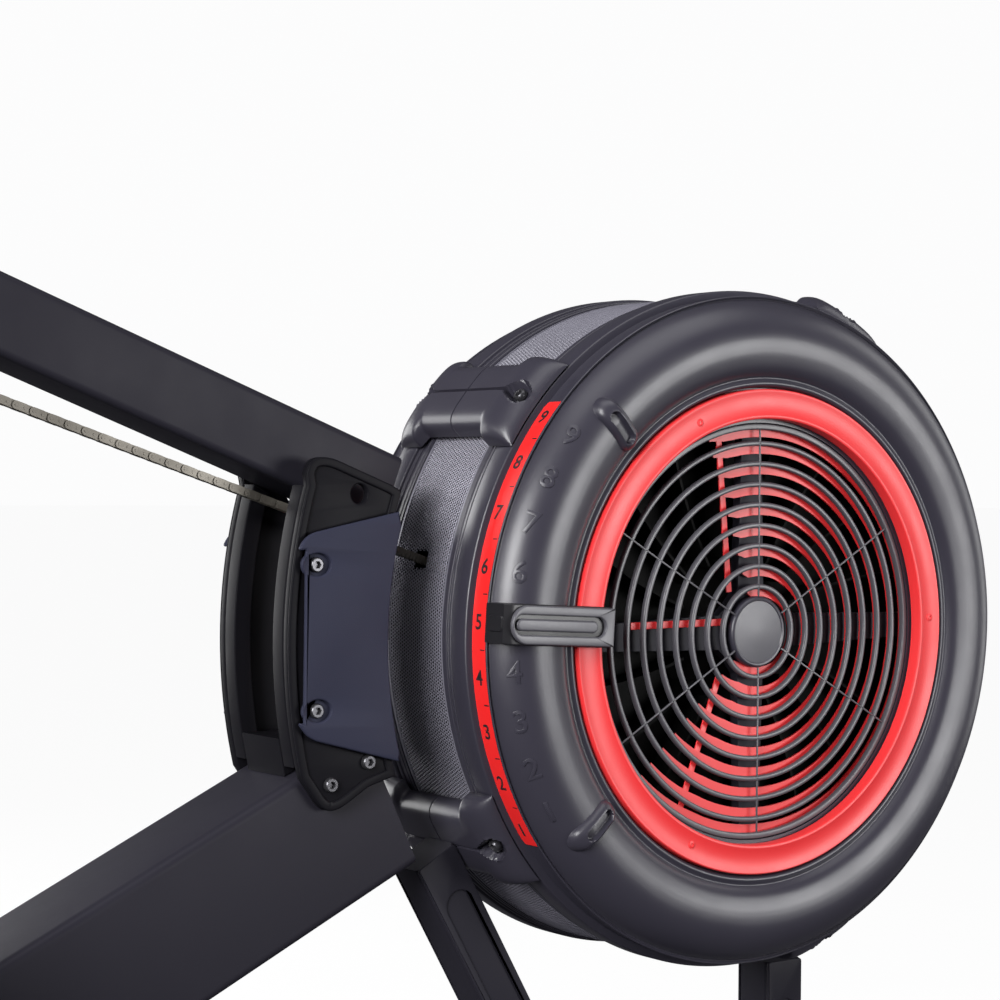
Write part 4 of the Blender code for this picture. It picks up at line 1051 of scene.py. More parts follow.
# --- Dial, damper and grille ------------------------------------------------------------------
@dataclass
class Dial:
    """The number strip, the red ring, its lever and the shutter behind the grille."""

    strip_r: float = 0.2475
    strip_low: float = 0.0692
    strip_high: float = 0.0848
    middle: float = 3.55
    half: float = 38.8
    number_step: float = 8.9
    ring_in: float = 0.1580
    ring_out: float = 0.1800
    ring_depth: float = 0.1000
    vane_shift: float = 0.0036
    lever_wide: float = 0.0284
    lever_top: float = 0.1128
    rivet_degrees: tuple[float, ...] = (66.0, 178.0, -64.0)

    def strip(self) -> Skin:
        """The red strip: an outline of depth and arc, laid round the casing's land."""
        run = self.strip_r * math.radians(self.half)
        low, high = self.strip_low, self.strip_high
        outline = softened([(-run - 0.0030, low), (run + 0.0030, low), (run, high), (-run, high)],
                           [0.0105, 0.0105, 0.0008, 0.0008], 9)
        length = -run * np.cos(np.linspace(0, np.pi, 91))
        lower = self.edge_of(outline, length, low=True)
        upper = self.edge_of(outline, length, low=False)
        across = np.linspace(0, 1, 5)[None, :]
        y = -(lower[:, None] * (1 - across) + upper[:, None] * across)
        angle = self.middle + np.degrees(length / self.strip_r)[:, None] + 0 * across
        layers = []
        for r in (self.strip_r + 0.0003, self.strip_r + 0.0010):
            xz = polar(r, angle)
            layers.append(np.stack([xz[..., 0], y, xz[..., 1]], -1))
        return sealed(layers[0], layers[1])

    @staticmethod
    def edge_of(outline: Array, length: Array, low: bool) -> Array:
        """The lower or upper edge of a convex outline at each length."""
        middle = (outline[:, 1].min() + outline[:, 1].max()) / 2
        part = outline[outline[:, 1] < middle] if low else outline[outline[:, 1] > middle]
        part = part[np.argsort(part[:, 0], kind="stable")]
        return np.interp(length, part[:, 0], part[:, 1])

    def on_strip(self, shape: Skin, degrees: float, depth: float) -> Skin:
        """Wrap a flat shape on the strip: its x runs towards the rim and its y round the axis."""
        radius = self.strip_r + 0.0010

        def wrapped(p: Array) -> Array:
            """Carry x to depth, y to angle and z to radius."""
            angle = np.radians(degrees) + p[:, 1] / radius
            r = radius + p[:, 2]
            return np.stack([-r * np.cos(angle), -(depth + p[:, 0]), r * np.sin(angle)], -1)

        return shape.bent(wrapped)

    def strip_marks(self) -> Skin:
        """Numerals 1 to 9 with a short line between each two."""
        marks = []
        mid = (self.strip_low + self.strip_high) / 2
        for number in range(1, 10):
            degrees = self.middle + self.number_step * (number - 5)
            shape = glyph(str(number), 0.0106, 0.0002)
            marks.append(self.on_strip(shape, degrees, mid - 0.0006))
        tick = slab(rectangle(0.0048, 0.0008, 0.0001), 0.0, 0.0002, 0.0, 0.0)
        for number in range(1, 9):
            degrees = self.middle + self.number_step * (number - 4.5)
            marks.append(self.on_strip(tick, degrees, self.strip_high - 0.0034))
        return joined(marks)

    def red_ring(self) -> Skin:
        """The ring: a shallow channel section with rounded lips and a wall down inside."""
        profile = [(self.ring_in, 0.0905), (self.ring_in, 0.0985), (self.ring_in + 0.0004, 0.0995),
                   (self.ring_in + 0.0014, 0.1000), (self.ring_in + 0.0030, 0.0999),
                   (self.ring_in + 0.0040, 0.0994), (self.ring_out - 0.0040, 0.0994),
                   (self.ring_out - 0.0026, 0.0999), (self.ring_out - 0.0010, 0.1000),
                   (self.ring_out - 0.0003, 0.0995), (self.ring_out, 0.0985),
                   (self.ring_out, 0.0905)]
        return turned(np.array(profile) * (1, -1), 192)

    def rivets(self) -> Skin:
        """Three small rivets sunk in the ring."""
        head = loft(np.array([np.column_stack([circle(r, 20), np.full(20, z)])
                              for r, z in ((0.0030, 0.0), (0.0028, 0.0006), (0.0014, 0.0010),
                                           (0.0012, 0.0004))]))
        places = np.array([Casing.on_face(0.1688, a, 0.0992) for a in self.rivet_degrees])
        return repeated(head, places)

    def lever_frame(self) -> Array:
        """Local X runs out along the lever, local Y round the dial and local Z out of its face."""
        a = math.radians(self.middle)
        return place((0, 0, 0), x=(-math.cos(a), 0, math.sin(a)), z=(0, -1, 0))

    def lever_body(self) -> Skin:
        """The dark lower part: a section carried out along the lever, its underside over the crown.

        Each ring is a rounded rectangle between the underside and the shoulder.
        """
        casing = Casing()
        x = np.concatenate([np.linspace(0.1572, 0.1600, 4), np.linspace(0.164, 0.238, 26),
                            np.linspace(0.240, 0.2500, 8)])
        under = np.where(x < 0.1845, self.ring_depth + 0.0005, casing.flank_depth(x) + 0.0024)
        under = np.maximum(under, self.ring_depth + 0.0005)
        under = np.where(x > 0.236, casing.flank_depth(np.minimum(x, 0.2465)) + 0.0024, under)
        under = np.maximum(under, 0.0866)
        top = np.full_like(x, 0.1096) - 0.4 * np.maximum(x - 0.2440, 0)
        half = self.lever_wide / 2 * np.where(x < 0.244, 1.0, 1 - 6.0 * (x - 0.244))
        half = np.where(x < 0.159, half * (0.93 + 0.07 * (x - 0.1572) / 0.0018), half)
        rings = []
        for xi, lo, hi, h in zip(x, under, top, half):
            shape = softened([(-h, lo), (h, lo), (h, hi), (-h, hi)], 0.0012, 3)
            rings.append(np.column_stack([np.full(len(shape), xi), shape]))
        return loft(np.array(rings))

    def lever_nub(self) -> Skin:
        """The narrow blunt nose that points at the strip, just past the casing's edge."""
        x = np.linspace(0.2300, 0.2512, 16)
        t = (x - x[0]) / (x[-1] - x[0])
        half = 0.0070 * np.sqrt(np.clip(1.02 - 0.5 * blended(t, 0.86, 1.0), 0.10, 1))
        low = np.maximum(Casing().flank_depth(np.minimum(x, 0.2465)) + 0.0024, 0.0905)
        high = 0.1094 - 0.0030 * t ** 2
        rings = []
        for xi, h, lo, hi in zip(x, half, low, high):
            shape = softened([(-h, lo), (h, lo), (h, hi), (-h, hi)], 0.0035, 5)
            rings.append(np.column_stack([np.full(len(shape), xi), shape]))
        return loft(np.array(rings))

    def lever_face(self) -> Skin:
        """The pale face: a frame round the long slot, rounded at its outer end."""
        count = 96
        outer = stadium(0.2460 - 0.1300, self.lever_wide - 0.0016, count) + (0.1880, 0)
        outer[:, 0] = np.maximum(outer[:, 0], 0.1574)
        inner = stadium(0.0790, 0.0140, count) + (0.2045, 0)
        return framed(outer, inner, 0.1094, self.lever_top, 0.0010)

    def lever_bar(self) -> Skin:
        """The raised bar in the slot."""
        return slab(stadium(0.0700, 0.0084, 56) + (0.2065, 0), 0.1088, 0.1122, 0.0014, 0.0)

    def shutter(self) -> Skin:
        """The red shutter: crescent vanes just inside the grille's rings, and three thin arms.

        Angles run from straight up past the side away from the lever. A vane is widest above and
        below the hub, narrows towards the sides and is missing on the lever's side: the real red
        ring runs all round, so the red is painted only where light reaches it between the grille's
        rings, and left out as painted shade where their shadow falls.
        """
        grille = Grille()
        past = np.radians(np.linspace(-19, 228, 92))
        # Share of each vane's width: full where the red is lit, cut back where the grille's shadow
        # falls, as painted light and shade.
        fill = np.interp(np.degrees(past), [-19, -13, 0, 34, 60, 85, 110, 145, 180, 206, 228],
                         [0.3, 1, 1, 0.8, 0.25, 0.15, 0.18, 0.6, 1, 1, 0.2])
        middle = [grille.first + grille.pitch * k for k in range(grille.rings)]
        vanes = []
        for radius in [*middle, grille.edge - 0.0024]:
            rings = []
            low, high = radius - 0.0019 - 0.0058 * fill, np.full_like(fill, radius - 0.0006)
            for r, depth in ((low, 0.0824), (high, 0.0824), (high, 0.0806), (low, 0.0806)):
                rings.append(np.stack([self.vane_shift + r * np.sin(past), -np.full_like(r, depth),
                                       r * np.cos(past)], -1))
            vanes.append(facing_out(loft(np.stack(rings, 1))))
        arms = [self.shutter_arm(a, b) for a, b in
                (((-0.0245, 0.0300), (-0.0366, 0.1520)), ((-0.0330, -0.0300), (-0.0700, -0.1270)),
                 ((-0.0300, 0.0080), (-0.1180, 0.0080)))]
        return joined([*vanes, *arms])

    @staticmethod
    def shutter_arm(start: tuple[float, float], end: tuple[float, float]) -> Skin:
        """A thin arm of the shutter between two points of its plane."""
        along = np.array(end) - start
        length = float(np.hypot(*along))
        frame = place(((start[0] + end[0]) / 2, -0.0808, (start[1] + end[1]) / 2),
                      x=(along[0] / length, 0, along[1] / length), z=(0, -1, 0))
        return slab(rectangle(length, 0.0052, 0.0006), 0.0, 0.0014, 0.0003).placed(frame)

    def build(self, shop: Workshop) -> None:
        """Make every piece of the dial."""
        shop.add("number_strip", self.strip(), STRIP, "frame", ["scale_strip"])
        shop.add("strip_numerals", self.strip_marks(), NUMERAL, "frame")
        shop.add("red_ring", self.red_ring(), RED_RING, "damper", ["damper_ring"])
        shop.add("ring_rivets", self.rivets(), RED_RING, "damper")
        frame = self.lever_frame()
        body = joined([self.lever_body().placed(frame), self.lever_nub().placed(frame)])
        shop.add("lever_body", body, LEVER_DARK, "damper", ["damper_lever"])
        shop.add("lever_face", self.lever_face().placed(frame), LEVER, "damper")
        shop.add("lever_bar", self.lever_bar().placed(frame), LEVER, "damper")
        shop.add("shutter_plate", self.shutter(), RED_RING, "damper",
                 ["damper_shutter"])


@dataclass
class Grille:
    """The round grille over the fan: rings, spokes and a hub."""

    depth: float = 0.0873
    first: float = 0.0338
    pitch: float = 0.0152
    rings: int = 8
    wire: float = 0.0038
    hub: float = 0.0265
    edge: float = 0.1550

    def ring(self, radius: float) -> Skin:
        """One ring: a rounded bar section, deeper than it is wide."""
        section = rectangle(self.wire, 0.0042, 0.0014, (radius, self.depth - 0.0014), 4)
        return turned(section * (1, -1), 132)

    def spokes(self) -> Skin:
        """Six thin spokes along the front of the rings."""
        bar = slab(rectangle(self.edge - self.hub, 0.0013, 0.0003), -0.0012, 0.0, 0.0003)
        middle = (self.edge + self.hub) / 2
        places = np.array([Casing.on_face(middle, 30 + 60.0 * k, self.depth + 0.0007)
                           for k in range(6)])
        return repeated(bar, places)

    def hub_disc(self) -> Skin:
        """The hub: a dished disc with a raised rim."""
        profile = [(self.hub, -0.0060), (self.hub, -0.0008), (self.hub - 0.0006, 0.0004),
                   (self.hub - 0.0016, 0.0010), (self.hub - 0.0028, 0.0008),
                   (self.hub - 0.0034, 0.0001), (0.0120, 0.0008), (0.0010, 0.0012)]
        rings = np.array([np.column_stack([circle(r, 96), np.full(96, self.depth + h)])
                          for r, h in profile])
        return loft(rings).placed(UPRIGHT)

    def border(self) -> Skin:
        """The plain outer ring that sits in the casing."""
        ring = rectangle(0.0046, 0.0046, 0.0010, (self.edge - 0.0024, self.depth - 0.0008), 3)
        return turned(ring * (1, -1), 168)

    def build(self, shop: Workshop) -> None:
        """Make the grille."""
        rings = [self.ring(self.first + self.pitch * k) for k in range(self.rings)]
        shop.add("grille_rings", joined([*rings, self.border()]), GRILLE, "frame", ["fan_grille"])
        shop.add("grille_spokes", self.spokes(), GRILLE, "frame")
        shop.add("grille_hub", self.hub_disc(), CASING, "frame")


@dataclass
class Fan:
    """The fan wheel with its curved blades, and what carries it."""

    blades: int = 18
    tip: float = 0.2240
    root: float = 0.0560
    near: float = -0.0640
    far: float = -0.0140

    def blade(self) -> Skin:
        """One blade: a thin sheet that leans forward as it goes out, with rolled edges."""
        u, v = np.meshgrid(np.linspace(0, 1, 13), np.linspace(0, 1, 5), indexing="ij")
        r = self.root + (self.tip - self.root) * u
        lean = 13.0 * u ** 1.6
        y = self.near + (self.far - self.near) * v
        layers = []
        for side in (-1, 1):
            thick = np.degrees(0.0011 / r) * side
            xz = polar(r, lean + thick)
            layers.append(np.stack([xz[..., 0], y, xz[..., 1]], -1))
        return sealed(layers[0], layers[1])

    def build(self, shop: Workshop) -> None:
        """Make the wheel and dress the axle, bearings and spider."""
        turn = np.radians(np.arange(self.blades) * 360.0 / self.blades)
        places = np.array([place((0, 0, 0), x=(math.cos(a), 0, math.sin(a)),
                                 z=(-math.sin(a), 0, math.cos(a))) for a in turn])
        blades = repeated(self.blade(), places)
        hub = turned(np.array([(0.0090, -0.0640), (0.0300, -0.0640), (0.0340, -0.0600),
                               (0.0600, -0.0440), (0.0600, -0.0380), (0.0340, -0.0350),
                               (0.0300, -0.0140), (0.0090, -0.0140)]), 96)
        disc = turned(np.array([(0.0590, -0.0420), (0.2200, -0.0420), (0.2206, -0.0412),
                                (0.2200, -0.0404), (0.0590, -0.0404)]), 120)
        shop.add("fan_wheel_blades", joined([blades, hub, disc]), FAN_METAL, "fan", ["fan_wheel"])
        shop.dress(BRIGHT, "fan_axle", "bearing_right", "bearing_left", "chain_sprocket")
        shop.dress(PAINT, "bearing_spider")


# --- Neck, arm, beam and struts -----------------------------------------------------------------
@dataclass(frozen=True)
class Slope:
    """A sloping line of the frame: where it starts and how steeply it runs towards the seat."""

    start: tuple[float, float]
    degrees: float
    rising: bool

    def place(self, y: float = 0.0) -> Array:
        """Local X runs towards the seat, local Y to the dial's side and local Z up."""
        a = math.radians(self.degrees) * (1 if self.rising else -1)
        return place((self.start[0], y, self.start[1]), x=(-math.cos(a), 0, math.sin(a)),
                     z=(math.sin(a), 0, math.cos(a)))

    def top(self, x: Array | float) -> Array | float:
        """Height of the line at x."""
        rise = math.tan(math.radians(self.degrees)) * (1 if self.rising else -1)
        return self.start[1] + (self.start[0] - x) * rise


ARM = Slope((-0.2760, 0.1279), 20.95, rising=True)
BEAM = Slope((-0.3165, -0.0626), 25.13, rising=False)
# A section drawn in x, y that runs along X.
ALONG = np.array([[0, 0, 1, 0], [1, 0, 0, 0], [0, 1, 0, 0], [0, 0, 0, 1.0]])


def box_tube(width: float, height: float, length: float, radius: float, wall: float = 0.003,
             start: float = 0.0) -> Skin:
    """A square tube with rounded ridges along local X, its top face at z = 0, open at its ends."""
    outer = rectangle(width, height, radius, (0, -height / 2), 6)
    inner = rectangle(width - 2 * wall, height - 2 * wall, max(radius - wall, 0.0006),
                      (0, -height / 2), 6)
    return framed(outer, inner, start, start + length, 0.0006).placed(ALONG)


@dataclass
class Neck:
    """The neck between the casing, the arm and the beam: two plates, their covers and screws."""

    rear_r: float = 0.3820
    front_r: tuple[float, float] = (0.3100, 0.2620)
    half: float = 0.0455
    sheet: float = 0.0060
    slot_half: float = 0.0254
    rim: float = 0.0130
    cover: float = 0.0050

    def plate_outline(self, side: Side) -> Array:
        """Outline of a neck plate, with its corners rounded: the left one reaches the casing."""
        rear = arc(self.rear_r, -13.2, 16.6, 22)
        top = softened([(-0.3690, 0.1130), (-0.3640, 0.1268), (-0.3500, 0.1285),
                        (-0.2990, 0.1090), (-0.2440, 0.0950)],
                       [0.004, 0.010, 0.010, 0.004, 0.002], 6)[6:24]
        front = (arc(self.front_r[0], 19.8, -17.0, 14) if side is Side.RIGHT
                 else arc(self.front_r[1], 21.0, -17.6, 18))
        foot = softened([(-0.2500, -0.0800), (-0.3184, -0.0965), (-0.3430, -0.1112),
                         (-0.3560, -0.1105), (-0.3690, -0.0905), (-0.3700, -0.0880)],
                        [0.002, 0.004, 0.010, 0.012, 0.004, 0.002], 6)[7:28]
        return np.vstack([rear, top, front, foot])

    def plate(self, side: Side) -> Skin:
        """A plate with its hole, and a rolled border raised round it."""
        outline = counter_clockwise(self.plate_outline(side))
        hole = circle(0.0067, 28, (-0.3251, 0.1031))
        sheet = sheet_skin([outline, hole], self.half - self.sheet, self.half, 0.0012)
        border = framed(outline, drawn_in(outline, 0.0062), self.half - 0.0010, self.half + 0.0016,
                        0.0012)
        return joined([sheet.placed(on_side(UPRIGHT, side)), border.placed(on_side(UPRIGHT, side))])

    def rear_wall(self, side: Side) -> Skin:
        """The thick rear edge, which narrows the slot that the chain comes out of."""
        edge = np.vstack([arc(self.rear_r, -12.2, 16.6, 22),
                          arc(self.rear_r - self.rim, 16.2, -12.0, 22)])
        wall = slab(edge, self.slot_half, self.half - self.sheet + 0.0004, 0.0022, 0.0010)
        return wall.placed(on_side(UPRIGHT, side))

    def cover_outline(self) -> Array:
        """Outline of a side cover."""
        corners = softened([(-0.3785, 0.0640), (-0.3700, 0.0765), (-0.3450, 0.0815),
                            (-0.2960, 0.0910)], [0.008, 0.008, 0.006, 0.002], 5)[:21]
        front = arc(0.3060, 15.4, -14.2, 16)
        foot = softened([(-0.2965, -0.0806), (-0.3330, -0.0706), (-0.3690, -0.0608),
                         (-0.3785, -0.0480)], [0.002, 0.006, 0.008, 0.006], 5)[3:]
        return np.vstack([corners, front, foot])

    def side_cover(self, side: Side) -> Skin:
        """A cover whose face is a sheet with two oval hollows, over a floor below them."""
        base = self.half + 0.0018
        outline = counter_clockwise(self.cover_outline())
        hollows = [self.hollow(z) for z in (0.0560, -0.0420)]
        face = sheet_skin([outline, *hollows], base + 0.0012, base + self.cover, 0.0014)
        floor = slab(drawn_in(outline, 0.0014), base - 0.0004, base + 0.0016, 0.0003)
        return joined([s.placed(on_side(UPRIGHT, side)) for s in (face, floor)])

    @staticmethod
    def hollow(z: float) -> Array:
        """An oval hollow round a cover screw."""
        turn = np.linspace(0, 2 * np.pi, 32, endpoint=False)
        return np.stack([-0.3622 + 0.0104 * np.cos(turn), z + 0.0076 * np.sin(turn)], -1)

    def screws(self, side: Side) -> Skin:
        """Screws of the cover and of the plate."""
        spots = [(-0.3622, 0.0560, 0.0028), (-0.3622, -0.0420, 0.0028),
                 (-0.3491, -0.0932, 0.0), (-0.3189, -0.0797, 0.0)]
        places = []
        for x, z, rise in spots:
            places.append(on_side(place((x, -(self.half + rise), z), x=(1, 0, 0), z=(0, -1, 0)),
                                  side))
        return repeated(screw_head(0.0052, 0.0034), np.array(places))

    def floor_block(self) -> Skin:
        """The block that closes the bottom of the slot."""
        front, rear, level = -0.3170, -0.3722, -0.0620
        outline = [(front, level), (rear - 0.0050, level), (rear, BEAM.top(rear) + 0.0006),
                   (front, BEAM.top(front) + 0.0006)]
        half = self.slot_half - 0.0006
        return slab(np.array(outline), -half, half, 0.0008).placed(UPRIGHT)

    def build(self, shop: Workshop) -> None:
        """Make the neck."""
        for side in Side:
            word = side.name.lower()
            plate = joined([self.plate(side), self.rear_wall(side)])
            shop.add(f"neck_side_{word}", plate, NECK_PAINT, "frame", [f"neck_plate_{word}"], 50)
            shop.add(f"neck_cover_{word}", self.side_cover(side), COVER, "frame",
                     [f"side_cover_{word}"], 50)
            shop.add(f"neck_screws_{word}", self.screws(side), SCREW, "frame")
        shop.add("neck_floor", self.floor_block(), NECK_PAINT, "frame", ["neck_block"])


@dataclass
class Framework:
    """The arm, the beam, the struts and the two feet."""

    arm_size: float = 0.0500
    arm_length: float = 0.7029
    beam_width: float = 0.0780
    beam_height: float = 0.1016
    beam_end: float = -0.7610
    strut: float = 0.0360
    lean: float = 29.3
    rear_top: tuple[float, float] = (-0.2350, -0.1700)
    floor: float = -0.6400
    foot_height: float = 0.0450

    def arm(self) -> Skin:
        """The arm's tube and the plug in its upper end."""
        tube = box_tube(self.arm_size, self.arm_size, self.arm_length, 0.0052)
        plug = slab(rectangle(self.arm_size - 0.0010, self.arm_size - 0.0010, 0.0050,
                              (0, -self.arm_size / 2)), self.arm_length - 0.0080,
                    self.arm_length + 0.0030, 0.0020, 0.0002)
        return joined([tube, plug.placed(ALONG)]).placed(ARM.place())

    def beam(self) -> Skin:
        """The main beam: a rounded box section whose rear end is cut upright.

        Every ring is the same section, and the last is moved along the beam until it is upright:
        by -z tan(slope) for a point z below the top face.
        """
        section = rectangle(self.beam_width, self.beam_height, 0.0068, (0, -self.beam_height / 2),
                            7)
        slope = math.radians(BEAM.degrees)
        run = (BEAM.start[0] - self.beam_end) / math.cos(slope)
        start = np.zeros(len(section))
        end = run - section[:, 1] * -math.tan(slope)
        lengths = np.stack([start, start + 0.06, end - 0.001, end])
        rings = [np.column_stack([length, section]) for length in lengths]
        return loft(np.array(rings)).placed(BEAM.place())

    def strut_skin(self, length: float, low_cut: float) -> Skin:
        """A strut with a long sunk panel, round at its upper end, in each side face.

        Its foot is cut level: a point z across the strut ends low_cut z further down.
        """
        half = self.strut / 2
        section = rectangle(self.strut - 0.0030, self.strut, 0.0040, steps=5)
        core_end = length - section[:, 1] * low_cut
        core = loft(np.array([np.column_stack([x, section])
                              for x in (np.zeros(len(section)), core_end - 0.001, core_end)]))
        cheeks = []
        for side in (1, -1):
            outline = rectangle(length, self.strut, 0.0030, (length / 2, 0), 5)
            deep = outline[:, 0] > length / 2
            outline[deep, 0] -= outline[deep, 1] * low_cut
            window = stadium(length - 0.050, self.strut - 0.0130, len(outline))
            window = np.roll(window, -len(outline) // 8 * 5, axis=0) + (length / 2 + 0.006, 0)
            cheek = framed(outline, window, half - 0.0022, half, 0.0008)
            turn = place((0, 0, 0), x=(1, 0, 0), z=(0, side, 0))
            cheeks.append(cheek.placed(turn))
        return joined([core, *cheeks])

    def rear_strut(self) -> Skin:
        """The strut that leans from the casing to the front foot."""
        top = -0.1560
        lean = math.radians(self.lean)
        x = self.rear_top[0] + (self.rear_top[1] - top) * math.tan(lean)
        foot = self.floor + self.foot_height + 0.0004
        length = (top - foot) / math.cos(lean)
        return self.strut_skin(length, math.tan(lean)).placed(
            place((x, 0, top), x=(math.sin(lean), 0, -math.cos(lean)),
                  z=(-math.cos(lean), 0, -math.sin(lean))))

    def front_strut(self) -> Skin:
        """The upright strut in front."""
        top, foot = -0.2700, self.floor + self.foot_height + 0.0004
        down = place((0.0950, 0, top), x=(0, 0, -1), z=(1, 0, 0))
        return self.strut_skin(top - foot, 0.0).placed(down)

    def foot(self, x: float, depth: float, span: float) -> tuple[Skin, Skin]:
        """A foot: a rounded tube across the machine, and a plug with a pad at each end."""
        half = span / 2
        shape = rectangle(depth, self.foot_height, 0.0070, (x, self.floor + self.foot_height / 2),
                          6)
        tube = slab(shape, -half + 0.0180, half - 0.0180, 0.0006).placed(UPRIGHT)
        plugs = []
        for side in Side:
            edge = drawn_in(counter_clockwise(shape), -0.0004) + (0, 0.0004)
            cap = slab(edge, half - 0.0178, half, 0.0050, 0.0004)
            plugs.append(cap.placed(on_side(UPRIGHT, side)))
        return tube, joined(plugs)

    def bolts(self, x: float) -> Skin:
        """Two bolts through a foot's top beside its strut."""
        top = self.floor + self.foot_height
        places = np.array([place((x, y, top), x=(1, 0, 0)) for y in (-0.0400, 0.0400)])
        washer = round_pin(0.0100, 0.0, 0.0016, 0.0005)
        head = screw_head(0.0070, 0.0060).placed(place((0, 0, 0.0014)))
        return joined([repeated(washer, places), repeated(head, places)])

    def build(self, shop: Workshop) -> None:
        """Make the framework."""
        shop.add("arm_tube", self.arm(), PAINT, "frame", ["monitor_arm"])
        shop.add("beam_tube", self.beam(), PAINT, "frame", ["main_beam"])
        shop.add("rear_strut_tube", self.rear_strut(), PAINT, "frame", ["rear_strut"])
        shop.add("front_strut_tube", self.front_strut(), PAINT, "frame", ["front_strut"])
        tube, plugs = self.foot(0.0620, 0.1200, 0.5800)
        shop.add("front_foot_tube", tube, PAINT, "frame", ["front_foot"])
        shop.add("front_foot_plugs", plugs, TRIM, "frame")
        shop.add("front_foot_bolts", self.bolts(0.0620), SCREW, "frame")
        tube, plugs = self.foot(-2.0800, 0.0800, 0.4200)
        shop.add("rear_foot_tube", tube, PAINT, "frame", ["rear_foot"])
        shop.add("rear_foot_plugs", plugs, TRIM, "frame")


@dataclass
class TransportWheels:
    """The two wheels on the front foot, with the lugs and pins that hold them."""

    radius: float = 0.0340
    across: float = 0.2000
    x: float = 0.1580
    z: float = -0.6020

    def wheel(self) -> Skin:
        """A tyre and hub turned round the pin, with grooves in the tread."""
        r = self.radius
        half = [(0.0062, 0.0118), (0.0100, 0.0120), (0.0130, 0.0112), (0.0140, 0.0080),
                (0.0225, 0.0076), (0.0240, 0.0100), (0.0290, 0.0120), (r - 0.0016, 0.0110),
                (r - 0.0003, 0.0090), (r, 0.0066), (r - 0.0012, 0.0060), (r - 0.0012, 0.0050),
                (r, 0.0044)]
        profile = np.array(half + [(a, -b) for a, b in half[::-1]])
        return turned(profile, 64)

    def lug(self) -> Skin:
        """A lug that carries the wheel's pin."""
        outline = softened([(-0.0400, -0.0130), (0.0040, -0.0130), (0.0120, -0.0060),
                            (0.0120, 0.0060), (0.0040, 0.0130), (-0.0400, 0.0130)],
                           [0.002, 0.006, 0.006, 0.006, 0.006, 0.002], 5)
        return slab(outline, -0.0030, 0.0030, 0.0012)

    def build(self, shop: Workshop) -> None:
        """Make both wheels."""
        for side in Side:
            word = side.name.lower()
            y = side.value * self.across
            wheel = self.wheel().placed(place((self.x, y, self.z)))
            shop.add(f"wheel_tyre_{word}", wheel, ROLLER, f"wheel_{word}",
                     [f"transport_wheel_{word}"])
            inner_y = side.value * (self.across - 0.0160)
            lug = self.lug().placed(place((self.x, inner_y, self.z), x=(1, 0, 0), z=(0, -1, 0)))
            shop.add(f"wheel_lug_{word}", lug, PAINT, "frame")
            pin = round_pin(0.0056, -0.0188, 0.0128).placed(
                place((self.x, y, self.z), x=(1, 0, 0), z=(0, side.value, 0)))
            head = screw_head(0.0090, 0.0040).placed(
                place((self.x, y + side.value * 0.0122, self.z), x=(1, 0, 0),
                      z=(0, side.value, 0)))
            shop.add(f"wheel_pin_{word}", joined([pin, head]), SCREW, "frame")


# --- Chain and handle ---------------------------------------------------------------------------
@dataclass
class Chain:
    """The roller chain from the sprocket to the handle, in its own sloping frame."""

    slope: float = 18.45
    pitch: float = 0.00635
    sprocket_r: float = 0.0243246
    length: float = 0.7300
    travel: float = 1.2000
    hidden_from: float = 0.0200
    hidden_to: float = 0.3000

    def frame(self) -> Array:
        """Local X runs along the chain towards the rower from over the sprocket."""
        a = math.radians(self.slope)
        x = (-math.cos(a), 0, math.sin(a))
        z = (math.sin(a), 0, math.cos(a))
        down = np.array(z) * -self.sprocket_r
        return place(down, x=x, z=z)

    def link_set(self) -> Skin:
        """Two pitches of chain: a pair of inner plates, a pair of outer plates, two rollers.

        A plate is two round ends and a waist: its half width is a stadium's, pulled in by a
        squared cosine between the pins.
        """
        skins = []
        for start, inner, outer in ((0.0, 0.00170, 0.00245), (1.0, 0.00255, 0.00330)):
            outline = stadium(self.pitch + 0.0056, 0.0056, 20)
            waist = 1 - 0.24 * np.cos(np.clip(outline[:, 0] / self.pitch, -0.5, 0.5) * np.pi) ** 2
            outline = np.stack([outline[:, 0] + (start + 0.5) * self.pitch,
                                outline[:, 1] * waist], -1)
            for side in (1, -1):
                plate = slab(outline, inner, outer, 0.0, 0.0)
                skins.append(plate.placed(place((0, 0, 0), x=(1, 0, 0), z=(0, side, 0))))
        for pin in (0.0, 1.0):
            for radius, half in ((0.00165, 0.0016), (0.00105, 0.0036)):
                bar = slab(circle(radius, 10, (pin * self.pitch, 0)), -half, half, 0.0, 0.0)
                skins.append(bar.placed(place((0, 0, 0), x=(1, 0, 0), z=(0, 1, 0))))
        return joined(skins)

    def drawn(self, drawn_out: Array) -> Array:
        """Where a point of the fully drawn chain lies at rest.

        A point x at rest moves to x + travel w(x) when the handle is right back, where w is the
        smooth step over the hidden stretch, so this looks that rule up backwards.
        """
        x = np.linspace(-0.02, self.length + 0.05, 4000)
        out = x + self.travel * blended(x, self.hidden_from, self.hidden_to)
        return np.interp(drawn_out, out, x)

    def skin(self) -> Skin:
        """The whole chain: even when drawn out, and gathered in the casing at rest."""
        total = self.length + self.travel
        sets = int(total / (2 * self.pitch))
        places = np.array([place((total - (k + 1) * 2 * self.pitch, 0, 0)) for k in range(sets)])
        drawn_out = repeated(self.link_set(), places)
        return drawn_out.bent(lambda p: np.column_stack([self.drawn(p[:, 0]), p[:, 1:]]))

    def build(self, shop: Workshop) -> None:
        """Make the chain, which runs from the casing to the handle, and bake its place into its
        points.
        """
        frame = self.frame()
        piece = shop.add("chain", self.skin().placed(frame), CHAIN, "", ["chain_lead",
                                                                        "pull_chain"])
        ends = [shop.home @ shifted(frame, x) for x in (self.hidden_from, self.hidden_to)]
        start, end = (tuple(float(v) for v in e[:3, 3]) for e in ends)
        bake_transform(piece)
        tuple(start)
        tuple(end)


